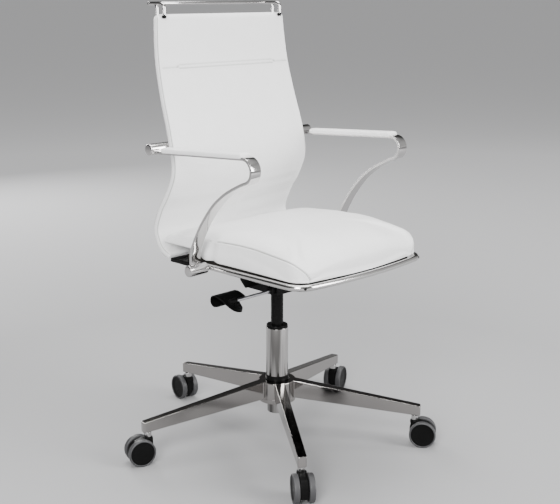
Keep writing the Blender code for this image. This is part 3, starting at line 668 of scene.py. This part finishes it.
def lever():
    """Cranked rod, and a thin paddle that waves along Y and curls up at its rear."""
    corners = [(-0.1660, LEVER_Y, LEVER_Z), (-0.0350, LEVER_Y, LEVER_Z),
               (-0.0350, -0.0110, LEVER_Z), (-0.0350, -0.0110, 0.3900), (0.0160, 0.0050, 0.3900)]
    path = ease(corners, 0.0060, 8, closed=False)
    make("lever_rod_fine", sweep(path, circle(0.0035, 20), tip=0.001), "chrome", "lever",
         ["lever_rod"], look="zinc_steel")

    def wave(y):
        return 0.3603 - 0.0094 * math.cos(2 * math.pi * (y + 0.0615) / 0.133)

    half = 0.0013
    roll = [Vector((0, 0.0055 + 0.0115 * math.sin(a), 0.3580 + 0.0115 * math.cos(a)))
            for a in (math.radians(d) for d in range(15, 196, 10))]
    roll += [Vector((0, -0.0080, 0.3500)), Vector((0, -0.0155, 0.3540)),
             Vector((0, -0.0196, 0.3556))]
    roll = evenly(smooth_curve(roll, 4), 0.0020)
    rings = []
    for k in range(33):
        x = -0.1840 + 0.0640 * (k / 32) ** 1.2
        front = interpolate(PADDLE_FRONT, x)
        sheet = [Vector((0, front * (1 - t / 28), wave(front * (1 - t / 28)))) for t in range(29)]
        middle = [p + Vector((x, 0, 0)) for p in sheet + roll]
        ups = [Vector((1, 0, 0)).cross(way) * half for way in tangents(middle)]
        rings.append([p + u for p, u in zip(middle, ups)]
                     + [p - u for p, u in zip(middle, ups)][::-1])
    blade = bevelled(loft(rings), 0.0007, 2, 50.0)
    hub = rod(0.0058, -0.1770, -0.1580, 0.0015, 32, (0, LEVER_Y, LEVER_Z), "X")
    rib = [[Vector((x, LEVER_Y + y, z)) for y, z in (
        (-0.0035, wave(LEVER_Y - 0.0035)), (0.0035, wave(LEVER_Y + 0.0035)),
        (0.0035, LEVER_Z), (-0.0035, LEVER_Z))] for x in (-0.1765, -0.1585)]
    make("lever_paddle_fine", merge(blade, hub, loft(rib)), "black_plastic", "lever",
         ["lever_paddle"], flat=True)


# ----- seat frame

SEAT_HALF, SEAT_FRONT, SEAT_CORNER, SEAT_BOW = 0.193, 0.2595, 0.041, 0.011
TUBE_R, TUBE_Z, TUBE_RISE = 0.0065, 0.435, 0.0081
PAN_LOW, PAN_THICK = 0.4200, 0.009
BOSS_RADIUS, BOSS_EASE = 0.0123, 0.0032
LOWER_BOSS = (0.013, 0.434)         # y and z of the axis
CROSSBAR = (0.1396, 0.6757)


def seat_edge(inset, rear, side_steps=7, corner_steps=6, bow_steps=4):
    """Outline of the seat from the rear of the -X side round the front to the +X side.

    Each entry is (x, y, how far the edge has turned from the side to the front).
    """
    half, front = SEAT_HALF - inset, SEAT_FRONT - inset
    corner = max(SEAT_CORNER - inset, min(0.012, half * 0.5))
    left = [(-half, rear + (corner - front - rear) * k / side_steps, 0.0)
            for k in range(side_steps)]
    left += [(-half + corner * (1 - math.cos(a)), -front + corner * (1 - math.sin(a)),
              smoothstep(a / (math.pi / 2)))
             for a in (math.pi / 2 * k / corner_steps for k in range(corner_steps + 1))]
    flat = half - corner
    left += [(x, -front - SEAT_BOW * (1 - (x / flat) ** 2), 1.0)
             for x in (-flat * (1 - k / bow_steps) for k in range(1, bow_steps))]
    return left + [(0.0, -front - SEAT_BOW, 1.0)] + [(-x, y, f) for x, y, f in left[::-1]]


def seat_frame():
    """Bent tube with its plugs, pan under the board, bosses of the arms, bar behind the back."""
    edge = seat_edge(0.0, 0.0255, 24, 16, 16)
    path = evenly([Vector((x, y, TUBE_Z - TUBE_RISE * y)) for x, y, _ in edge], 0.006)
    make("seat_tube_fine", sweep(path, circle(TUBE_R, 28), (0, 0, 1), tip=0.002), "chrome", "seat",
         ["seat_tube"], look="satin_chrome")
    half, step, wing, rear, middle = SEAT_HALF - TUBE_R - 0.0007, 0.0400, 0.1080, 0.1470, 0.1360
    inner = [(x, y) for x, y, _ in seat_edge(0.0480, step, 10, 8, 8)]
    rim = [(-half, rear), (-half, step)] + inner + [(half, step), (half, rear)]
    rim += [(wing, rear), (wing, middle), (-wing, middle), (-wing, rear)]
    rim = [Vector((x, y, PAN_LOW)) for x, y in rim]
    pan = bevelled(prism(rim, (0, 0, PAN_THICK)), 0.0016, 3)
    make("seat_pan_fine", pan, "black_steel", "seat", ["seat_pan"], flat=True)
    for side, sign in SIDES:
        out = Vector((sign * math.cos(math.radians(55)), -math.sin(math.radians(55)), 0))
        middle = Vector((sign * (SEAT_HALF - SEAT_CORNER), -SEAT_FRONT + SEAT_CORNER,
                         TUBE_Z + TUBE_RISE * 0.25)) + out * SEAT_CORNER
        turn = Vector((0, 0, 1)).rotation_difference(out).to_matrix().to_4x4()
        plug = rod(0.0028, TUBE_R - 0.0020, TUBE_R + 0.0009, 0.0006, 20)
        make(f"tube_plug_{side}", plug, "black_plastic", "seat",
             place=Matrix.Translation(middle) @ turn)
        ends = sorted((sign * 0.2490, sign * (SEAT_HALF + TUBE_R + 0.0004)))
        boss = rod(BOSS_RADIUS, *ends, BOSS_EASE, 48, (0, *LOWER_BOSS), "X")
        make(f"lower_boss_fine_{side}", boss, "chrome", "seat", [f"lower_boss_{side}"])
    bar = rod(BOSS_RADIUS, -0.2462, 0.2462, BOSS_EASE, 48, (0, *CROSSBAR), "X")
    make("back_crossbar_fine", bar, "chrome", "seat", ["back_crossbar"])


# ----- back

SHEET_THICK = 0.016
SHEET_FACE = [
    (0.1700, 0.9570), (0.1660, 0.9000), (0.1580, 0.8440), (0.1395, 0.7740), (0.1200, 0.7140),
    (0.1060, 0.6550), (0.1070, 0.6140), (0.1285, 0.5690), (0.1520, 0.5340), (0.1690, 0.4940),
    (0.1648, 0.4721), (0.1525, 0.4535), (0.1270, 0.4415),
]
SHEET_END = Vector((0.0, 0.0099, -0.0113)).normalized()
SHEET_WIDTHS = [(0.44, 0.2010), (0.56, 0.2020), (0.68, 0.2020), (0.79, 0.1980), (0.88, 0.1940),
                (0.957, 0.1890)]
SEAM_INSET = 0.0006


def sheet_lines(spacing):
    """The sheet's face line and the direction through it at each point, from the top down."""
    face = evenly(smooth_curve([Vector((0, y, z)) for y, z in SHEET_FACE], 12), spacing)
    backs = [Vector((0, -way.z, way.y)) for way in tangents(face)]
    for k in range(1, 9):
        backs[-k] = backs[-k].lerp(SHEET_END, 1 - (k - 1) / 8).normalized()
    return face, backs


def sheet_section(half, columns=150, crown=0.0):
    """Closed outline (across, through): crowned faces, and a padded edge with eased corners."""
    reach, depth = 0.0062, SHEET_THICK / 2
    outline = []
    for side in (1, -1):
        for k in range(columns + 1):
            x = (half - reach) * (2 * k / columns - 1)
            outline.append((side * x, side * (-depth - crown * (1 - (x / half) ** 4))))
        for k in range(1, 20):
            across, through = squarish(math.pi * k / 20 - math.pi / 2)
            outline.append((side * (half - reach + reach * across), side * depth * through))
    return [(a, b + depth) for a, b in outline]


def back_sheet():
    """The upholstered back: one thick curved sheet, with its sewn edges and its double seam,
    pressed in and darkened with painted shade.
    """
    face, backs = sheet_lines(0.0026)
    rings = []
    count = len(face)
    for i, (point, back) in enumerate(zip(face, backs)):
        from_top = (face[0] - point).length
        half = interpolate(SHEET_WIDTHS, point.z)
        if from_top < 0.010:
            half -= 0.010 - math.sqrt(0.010 ** 2 - (0.010 - from_top) ** 2)
        ends = min(i, count - 1 - i)
        pinch = (0.0, 0.52, 0.80, 0.95)[ends] if ends < 4 else 1.0
        crown = (0.0009 + 0.0060 * math.exp(-((point.z - 0.65) / 0.07) ** 2)) * pinch
        ring = []
        for a, b in sheet_section(half, crown=crown):
            b = SHEET_THICK / 2 + (b - SHEET_THICK / 2) * (0.25 + 0.75 * pinch)
            ring.append(point + Vector((a, 0, 0)) + back * b)
        rings.append(ring)
    obj = make("back_upholstery", loft(rings), "white_leatherette", "seat", ["back_sheet"],
               sharp=0)

    def on_face(depth, sign):
        """A line down one edge of the sheet, short of its top and its lower end."""
        chosen = list(zip(face, backs))[int(count * 0.012):int(count * 0.995)]
        return [p + b * depth
                + Vector((sign * (interpolate(SHEET_WIDTHS, p.z) - SEAM_INSET), 0, 0))
                for p, b in chosen]

    edges = [on_face(depth, sign) for depth in (0.0022, SHEET_THICK - 0.0022) for sign in (-1, 1)]
    # Painted shade along the sewn edges.
    sew(obj, edges, 0.0010, 0.0013, shade=0.8)

    def level(z, depth):
        """The point of the middle line at a height."""
        k = min(range(count), key=lambda i: abs(face[i].z - z))
        a, b = (k, k + 1) if face[k].z > z else (k - 1, k)
        t = (face[a].z - z) / (face[a].z - face[b].z)
        return face[a].lerp(face[b], t) + backs[a] * depth

    rows = []
    for depth in (0.0, SHEET_THICK):
        for z in (0.8480, 0.8408):
            joined = level(0.8444, depth)
            apart = level(z, depth)
            for s in (-1, 1):
                rows.append([joined + Vector((s * x, 0, 0)) for x in (0.188, 0.150)]
                            + [apart + Vector((s * x, 0, 0)) for x in (0.139, 0.0)])
    # Painted shade along the double seam.
    sew(obj, rows, 0.0012, 0.0013, puff=0.7, shade=1.0)
    creases = [[level(z + 0.05 * x, 0.0) + Vector((x, 0, 0)) for x in (0.04, 0.10, 0.15, 0.18)]
               for z in (0.520, 0.560)]
    sew(obj, creases, 0.0010, 0.0080, puff=0.6, shade=0.0)


def back_bracket():
    """Steel plate from under the pan up the rear of the back."""
    face, backs = sheet_lines(0.004)
    behind = [p + b * (SHEET_THICK + 0.0032) for p, b in zip(face, backs)]
    behind = [p for p in behind if 0.436 < p.z < 0.600 and p.y > 0.14][::-1]
    half_thick = 0.0025
    level = PAN_LOW - 0.0003 - half_thick
    path = ease([(0, 0.0990, level), (0, 0.1450, level), behind[0]], 0.008, 8, closed=False)
    path += behind[1:]
    rings = []
    for i, (point, way) in enumerate(zip(path, tangents(path))):
        up = Vector((1, 0, 0)).cross(way) * half_thick
        left = len(path) - 1 - i
        half = 0.100 - (0.0, 0.0, 0.001, 0.003, 0.008, 0.014)[max(5 - left, 0)]
        across = Vector((half, 0, 0))
        rings.append([point - across - up, point + across - up,
                      point + across + up, point - across + up])
    make("back_bracket_fine", bevelled(loft(rings), 0.0009, 2, 50.0), "black_steel", "seat",
         ["back_bracket"], flat=True)


def coat_rail():
    """Wire rail on four bent legs; the front legs go into the sheet's top edge."""
    y, z, x = 0.216, 0.979, 0.1735
    parts = [rod(0.0040, -0.1775, 0.1775, 0.0012, 24, (0, y, z), "X")]
    top = SHEET_FACE[0][1]
    for sign in (-1, 1):
        for leg_y, foot, radius in ((0.1655, top - 0.0020, 0.0039), (0.1890, 0.9300, 0.0036)):
            bends = [(sign * x, y, z), (sign * x, leg_y, z), (sign * x, leg_y, foot)]
            leg = ease(bends, 0.0130, 10, closed=False)
            parts.append(sweep(leg, circle(radius, 20), (1, 0, 0)))
    make("coat_rail_fine", merge(*parts), "chrome", "seat", ["coat_rail"])
    for side, sign in SIDES:
        ring = turned([(0, -0.0052), (0.0036, -0.0052), (0.0040, 0.0030), (0, 0.0030)], 0.0012, 28,
                      centre=(sign * x, 0.1675, top - 0.0056), axis="Y")
        make(f"rail_grommet_{side}", ring, "black_plastic", "seat")


# ----- arms

STRAP_X, STRAP_HALF, STRAP_THICK = 0.2265, 0.0130, 0.006
PAD_HALF, PAD_HIGH, PAD_LOW = 0.0140, 0.0078, -0.0056     # heights over the strap's top
STRAP_RISE = [
    (0.0160, 0.4466), (0.0148, 0.4700), (0.0075, 0.4900), (-0.0040, 0.5120), (-0.0240, 0.5435),
    (-0.0556, 0.5812), (-0.0900, 0.6085), (-0.1225, 0.6265),
]
BEND_Y, BEND_Z, BEND_RADIUS = -0.1425, 0.6620, 0.0247
BEND_START, BEND_TURN = math.radians(-100), math.radians(167)
SLOPE = math.radians(3.4)


def strap_path():
    """Middle line of a strap, from the lower boss up round the bend and back to the crossbar."""
    bend = [Vector((0, BEND_Y + BEND_RADIUS * math.cos(a), BEND_Z + BEND_RADIUS * math.sin(a)))
            for a in (BEND_START - (BEND_TURN - SLOPE) * k / 40 for k in range(41))]
    reach = CROSSBAR[0] - BOSS_RADIUS - 0.0006 - bend[-1].y
    end = bend[-1] + Vector((0, reach, -reach * math.tan(SLOPE)))
    rise = smooth_curve([Vector((0, y, z)) for y, z in STRAP_RISE] + bend[:1], 8)
    return rise[:-1] + bend + evenly([bend[-1], end], 0.02)[1:], bend[-1], end


def arms():
    """Flat chrome straps, each with a padded rest that wraps round its edges."""
    path, start, end = strap_path()
    flat = [(-STRAP_HALF, -STRAP_THICK / 2, 0), (STRAP_HALF, -STRAP_THICK / 2, 0),
            (STRAP_HALF, STRAP_THICK / 2, 0), (-STRAP_HALF, STRAP_THICK / 2, 0)]
    section = [(p.x, p.y) for p in ease(flat, 0.0009, 4)]
    along = (end - start).normalized()
    lift = Vector((0, -along.z, along.y))
    pad_from = start + along * 0.004 + lift * (STRAP_THICK / 2 + 0.0003)
    length = (end - start).length - 0.026
    for side, sign in SIDES:
        offset = Vector((sign * STRAP_X, 0, 0))
        make(f"arm_strap_fine_{side}", sweep([p + offset for p in path], section, (1, 0, 0)),
             "chrome", "seat", [f"arm_strap_{side}"], look="rubbed_chrome")
        rings = []
        stations = [0.0, 0.0012, 0.003, 0.006, 0.010, 0.016]
        stations += [0.016 + (length - 0.032) * k / 40 for k in range(1, 40)]
        stations += [length - s for s in (0.016, 0.010, 0.006, 0.003, 0.0012, 0.0)]
        for s in stations:
            near = min(s, length - s)
            share = math.sqrt(1 - (1 - min(near / 0.004, 1.0)) ** 2)
            wide, high = PAD_HALF * (0.93 + 0.07 * share), PAD_HIGH * (0.45 + 0.55 * share)
            low = PAD_LOW * share
            spot = pad_from + offset + along * s
            ring = []
            for k in range(40):
                across, upward = squarish(2 * math.pi * k / 40)
                ring.append(spot + Vector((wide * across, 0, 0))
                            + lift * ((high + low + (high - low) * upward) / 2))
            rings.append(ring)
        pad = make(f"arm_pad_cover_{side}", loft(rings), "white_leatherette", "seat",
                   [f"arm_pad_{side}"], sharp=60)


# ----- seat cushion

CUSHION_FOOT = 0.4430
CUSHION_REAR = 0.166
CREST = [(-0.30, 0.5170), (-0.138, 0.5175), (-0.040, 0.5140), (0.041, 0.5068), (0.0735, 0.5022),
         (0.120, 0.4910), (0.166, 0.4790)]
PROFILE = [     # inset from the tube line, set back at the front, share of height: side, front
    (0.0008, 0.0042, 0.0, 0.0), (-0.0024, 0.0046, 0.20, 0.16), (-0.0026, 0.0036, 0.42, 0.31),
    (-0.0008, 0.0022, 0.64, 0.44), (0.0030, 0.0012, 0.76, 0.55), (0.0105, 0, 0.855, 0.68),
    (0.0220, 0, 0.925, 0.80), (0.0450, 0, 0.98, 0.91), (0.0800, 0, 1.0, 0.985),
    (0.1300, 0, 1.008, 1.005), (0.1700, 0, 1.010, 1.008),
]


def corner_drop(x, y):
    """How much lower the cushion is towards its two front corners."""
    forward = max(-y - 0.090, 0.0) / 0.150
    return 0.018 * forward ** 2 * smoothstep((abs(x) - 0.060) / 0.120)


def cushion_points(inset, set_back, side_share, front_share, density):
    """One closed ring of the cushion, rear edge included."""
    face, _ = sheet_lines(0.006)
    low_face = sorted((p.z, p.y) for p in face if 0.442 < p.z < 0.56)
    edge = seat_edge(inset, CUSHION_REAR - 0.30 * max(inset, 0.0), *density[:3])
    middle = density[3]
    (x0, y0, _), (x1, _, _) = edge[0], edge[-1]
    rear = [(x1 + (x0 - x1) * k / (middle + 1), y0, 0.0) for k in range(1, middle + 1)]
    ring = []
    for x, y, turned_front in edge + rear:
        foot = CUSHION_FOOT + 0.0180 * smoothstep((y - 0.025) / 0.040)
        share = side_share + (front_share - side_share) * turned_front
        z = foot + share * (interpolate(CREST, y) - corner_drop(x, y) - foot)
        y += set_back * turned_front
        if y > 0.09:
            y = min(y, interpolate(low_face, z) - 0.0012)
        ring.append(Vector((x, y, z)))
    return ring, len(edge)


def cushion_mesh(density, steps):
    """Rings from the foot up and in to the middle, each end filled by rows from side to side."""
    profile = smooth_curve(PROFILE, steps)
    rings = [cushion_points(*p, density) for p in profile]
    edge_count = rings[0][1]
    middle = density[3]
    bm = bmesh.new()
    rows = skin(bm, [ring for ring, _ in rings])
    half = edge_count // 2
    for row in (rows[0], rows[-1]):
        strips = [[row[0]] + row[edge_count:][::-1] + [row[edge_count - 1]]]
        for k in range(1, half):
            left, right = row[k], row[edge_count - 1 - k]
            inner = [bm.verts.new(left.co.lerp(right.co, m / (middle + 1)))
                     for m in range(1, middle + 1)]
            strips.append([left] + inner + [right])
        for strip, following in zip(strips, strips[1:]):
            for a, b, c, d in zip(strip, strip[1:], following[1:], following):
                bm.faces.new((a, b, c, d))
        for a, b in zip(strips[-1], strips[-1][1:]):
            bm.faces.new((a, b, row[half]))
    return bm


def puff_up(obj, shrink, cap, frames, held_below):
    """Inflates a piece as cloth, from a slightly smaller shape, and keeps the result."""
    mesh = obj.data
    normals = [v.normal.copy() for v in mesh.vertices]
    held = obj.vertex_groups.new(name="held")
    for v, normal in zip(mesh.vertices, normals):
        if normal.z < -0.5 or v.co.z < held_below:
            held.add([v.index], 1.0, "REPLACE")
        v.co -= normal * shrink
    cloth = obj.modifiers.new("Cloth", "CLOTH")
    fabric = cloth.settings
    fabric.vertex_group_mass = "held"
    fabric.use_pressure = True
    fabric.uniform_pressure_force = 4.0
    fabric.effector_weights.gravity = 0.0
    fabric.tension_stiffness = fabric.compression_stiffness = 18.0
    fabric.bending_stiffness = 0.6
    fabric.quality = 6
    cloth.point_cache.frame_start, cloth.point_cache.frame_end = 1, frames
    scene = bpy.context.scene
    for number in range(1, frames + 1):
        scene.frame_set(number)
    evaluated = obj.evaluated_get(bpy.context.evaluated_depsgraph_get())
    swollen = [v.co.copy() for v in evaluated.data.vertices]
    obj.modifiers.remove(cloth)
    scene.frame_set(1)
    for v, end in zip(mesh.vertices, swollen):
        move = end - v.co
        if move.length > cap:
            move *= cap / move.length
        v.co += move
    obj.vertex_groups.remove(held)
    mesh.update()


def seat_cushion():
    """Puffed cushion with its gusset seams and a pinch at each gusset's rear, both with painted
    shade, and a black block as painted shade under its rear.
    """
    bm = cushion_mesh((44, 10, 18, 7), 3)
    obj = make("seat_upholstery", bm, "seat_padding", "seat", ["seat_cushion"], sharp=0)
    puff_up(obj, 0.0022, 0.0040, 20, 0.4460)
    evaluated_mesh(obj, "SUBSURF", levels=1, render_levels=1)
    seam_heights = [(-0.237, 0.4861), (-0.208, 0.4906), (-0.174, 0.4934), (-0.128, 0.4972),
                    (-0.083, 0.4996), (-0.045, 0.4985), (-0.008, 0.4954), (0.0155, 0.4938)]
    gussets, pinches = [], []
    for sign in (-1, 1):
        x = sign * (SEAT_HALF + 0.0015)
        run = [Vector((x, y, interpolate(seam_heights, y)))
               for y in (0.016 - 0.004 * k for k in range(60))]
        nose = [(0.1902, -0.2368, 0.4861), (0.1839, -0.2470, 0.4788), (0.1756, -0.2552, 0.4688),
                (0.1659, -0.2600, 0.4560), (0.1600, -0.2620, 0.4450)]
        run = [p for p in run if p.y > -0.226]
        gussets.append(smooth_curve(run[::4] + [Vector((sign * a, b, c)) for a, b, c in nose], 8))
        pinches.append([Vector((x, 0.0020, z)) for z in (0.4440, 0.4700, 0.4965)])
    cling(obj, gussets + pinches)
    # Painted shade: a black block fills the gap under the cushion's raised rear.
    make("cushion_shade_block", bevelled(box((-0.150, 0.028, 0.4437), (0.150, 0.106, 0.4600)), 0.004),
         "black_plastic", "seat", flat=True)
    # Painted shade in the pinches and along the gusset seams.
    sew(obj, pinches, 0.0034, 0.0095, puff=0.2, shade=0.12)
    sew(obj, gussets, 0.0012, 0.0014, puff=0.6, shade=1.0)


def cling(obj, lines):
    """Moves the points of seam lines onto a piece's surface."""
    for line in lines:
        for p in line:
            found, spot, _, _ = obj.closest_point_on_mesh(p + COLUMN)
            if found:
                p.xyz = spot - COLUMN


# ----- pressed and turned steel parts

def eased_copy(node_name, body, width):
    """The same part as in the frame, with its edges eased."""
    source = frame["nodes"][node_name]
    bm = bmesh.new()
    bm.from_mesh(source.data)
    bm.transform(Matrix.Translation(-COLUMN) @ source.matrix_world)
    bmesh.ops.remove_doubles(bm, verts=bm.verts, dist=1e-5)
    bmesh.ops.dissolve_limit(bm, angle_limit=math.radians(1.0), verts=bm.verts, edges=bm.edges)
    make(node_name + "_fine", bevelled(bm, width, 2, 34.0), SLOT_OF[node_name], body, [node_name],
         flat=True)


# ----- the chair and its stage

FLOOR_HALF = 300.0
# Painted light: the floor's colour, from near the chair to far off, offsets how the lamps light
# it.
FLOOR_NEAR, FLOOR_FAR = (0.34, 0.34, 0.345), (0.80, 0.80, 0.81)


def studio():
    """A pale endless floor with painted light, darker near the chair where the lamps light it most
    and paler far off, a world that is brightest overhead, and four soft lights.
    """
    scene = bpy.context.scene
    bm = bmesh.new()
    bm.faces.new([bm.verts.new((x * FLOOR_HALF, y * FLOOR_HALF, 0.0))
                  for x, y in ((-1, -1), (1, -1), (1, 1), (-1, 1))])
    floor = add_object("studio_floor", mesh_of(bm, "studio_floor"))
    material, tree, shader, place = base_material("floor", FLOOR_NEAR, 0.8, specular=0.1)
    # Painted light: the colour grows paler with distance, to even out the lamps' bright pool near
    # the chair.
    away = node(tree, "ShaderNodeVectorMath", operation="LENGTH")
    tree.links.new(place, away.inputs[0])
    shade = blend_colours(tree, ramp(tree, away.outputs["Value"], 0.0, 1.0, 1.0, 4.5),
                          FLOOR_NEAR, FLOOR_FAR)
    tree.links.new(shade, shader.inputs["Base Color"])
    floor.data.materials.append(material)

    world = bpy.data.worlds.new("studio")
    scene.world = world
    world.use_nodes = True
    tree = world.node_tree
    background = tree.nodes["Background"]
    direction = node(tree, "ShaderNodeTexCoord")
    height = node(tree, "ShaderNodeSeparateXYZ")
    shade = node(tree, "ShaderNodeValToRGB")
    shade.color_ramp.interpolation = "EASE"
    stops = [(0.50, 0.34), (0.525, 0.22), (0.58, 0.06), (0.78, 0.06), (0.90, 0.70), (1.0, 0.85)]
    while len(shade.color_ramp.elements) < len(stops):
        shade.color_ramp.elements.new(0.5)
    for element, (spot, tone) in zip(shade.color_ramp.elements, stops):
        element.position = spot
        element.color = (tone, tone, tone, 1.0)
    half_up = node(tree, "ShaderNodeMath", operation="MULTIPLY_ADD")
    half_up.inputs[1].default_value = half_up.inputs[2].default_value = 0.5
    tree.links.new(direction.outputs["Generated"], height.inputs["Vector"])
    tree.links.new(height.outputs["Z"], half_up.inputs[0])
    tree.links.new(half_up.outputs["Value"], shade.inputs["Fac"])
    flank = node(tree, "ShaderNodeVectorMath", operation="DOT_PRODUCT")
    flank.inputs[1].default_value = (0.75, -0.66, 0.0)
    tree.links.new(direction.outputs["Generated"], flank.inputs[0])
    lit = ramp(tree, flank.outputs["Value"], 0.0, 0.55, 0.45, 0.95,
               interpolation_type="SMOOTHSTEP")
    total = node(tree, "ShaderNodeMix", data_type="RGBA", blend_type="ADD", Factor=1.0)
    tree.links.new(shade.outputs["Color"], total.inputs["A"])
    tree.links.new(lit, total.inputs["B"])
    tree.links.new(total.outputs["Result"], background.inputs["Color"])
    background.inputs["Strength"].default_value = 1.0

    def area(name, place, target, size, power):
        data = bpy.data.lights.new(name, "AREA")
        data.shape = "RECTANGLE"
        data.size, data.size_y = size
        data.energy = power
        aimed(name, data, place, target)

    area("key", (-2.7, -1.6, 1.9), (0, 0, 0.5), (1.1, 2.2), 180)
    area("fill", (1.3, -3.0, 1.7), (0, 0, 0.5), (1.3, 2.0), 140)
    area("top", (0.3, 0.4, 3.2), (0, 0, 0.4), (2.2, 2.0), 110)
    area("rim", (0.9, 3.1, 1.7), (0, 0, 0.6), (0.6, 1.8), 55)


for slot_node, slot_object in frame["nodes"].items():
    slot_object.data.materials.clear()
    slot_object.data.materials.append(MATERIALS[SLOT_OF[slot_node]])

star_base()
column()
for index, (arm_angle, resting) in enumerate(zip(ARM_ANGLES, CASTERS), 1):
    caster(index, arm_angle, resting)
lever()
seat_frame()
back_sheet()
back_bracket()
coat_rail()
arms()
seat_cushion()
eased_copy("mechanism_housing", "swivel", 0.0012)
for node_name in ("mounting_bracket", "seat_board"):
    eased_copy(node_name, "seat", 0.0005)
studio()
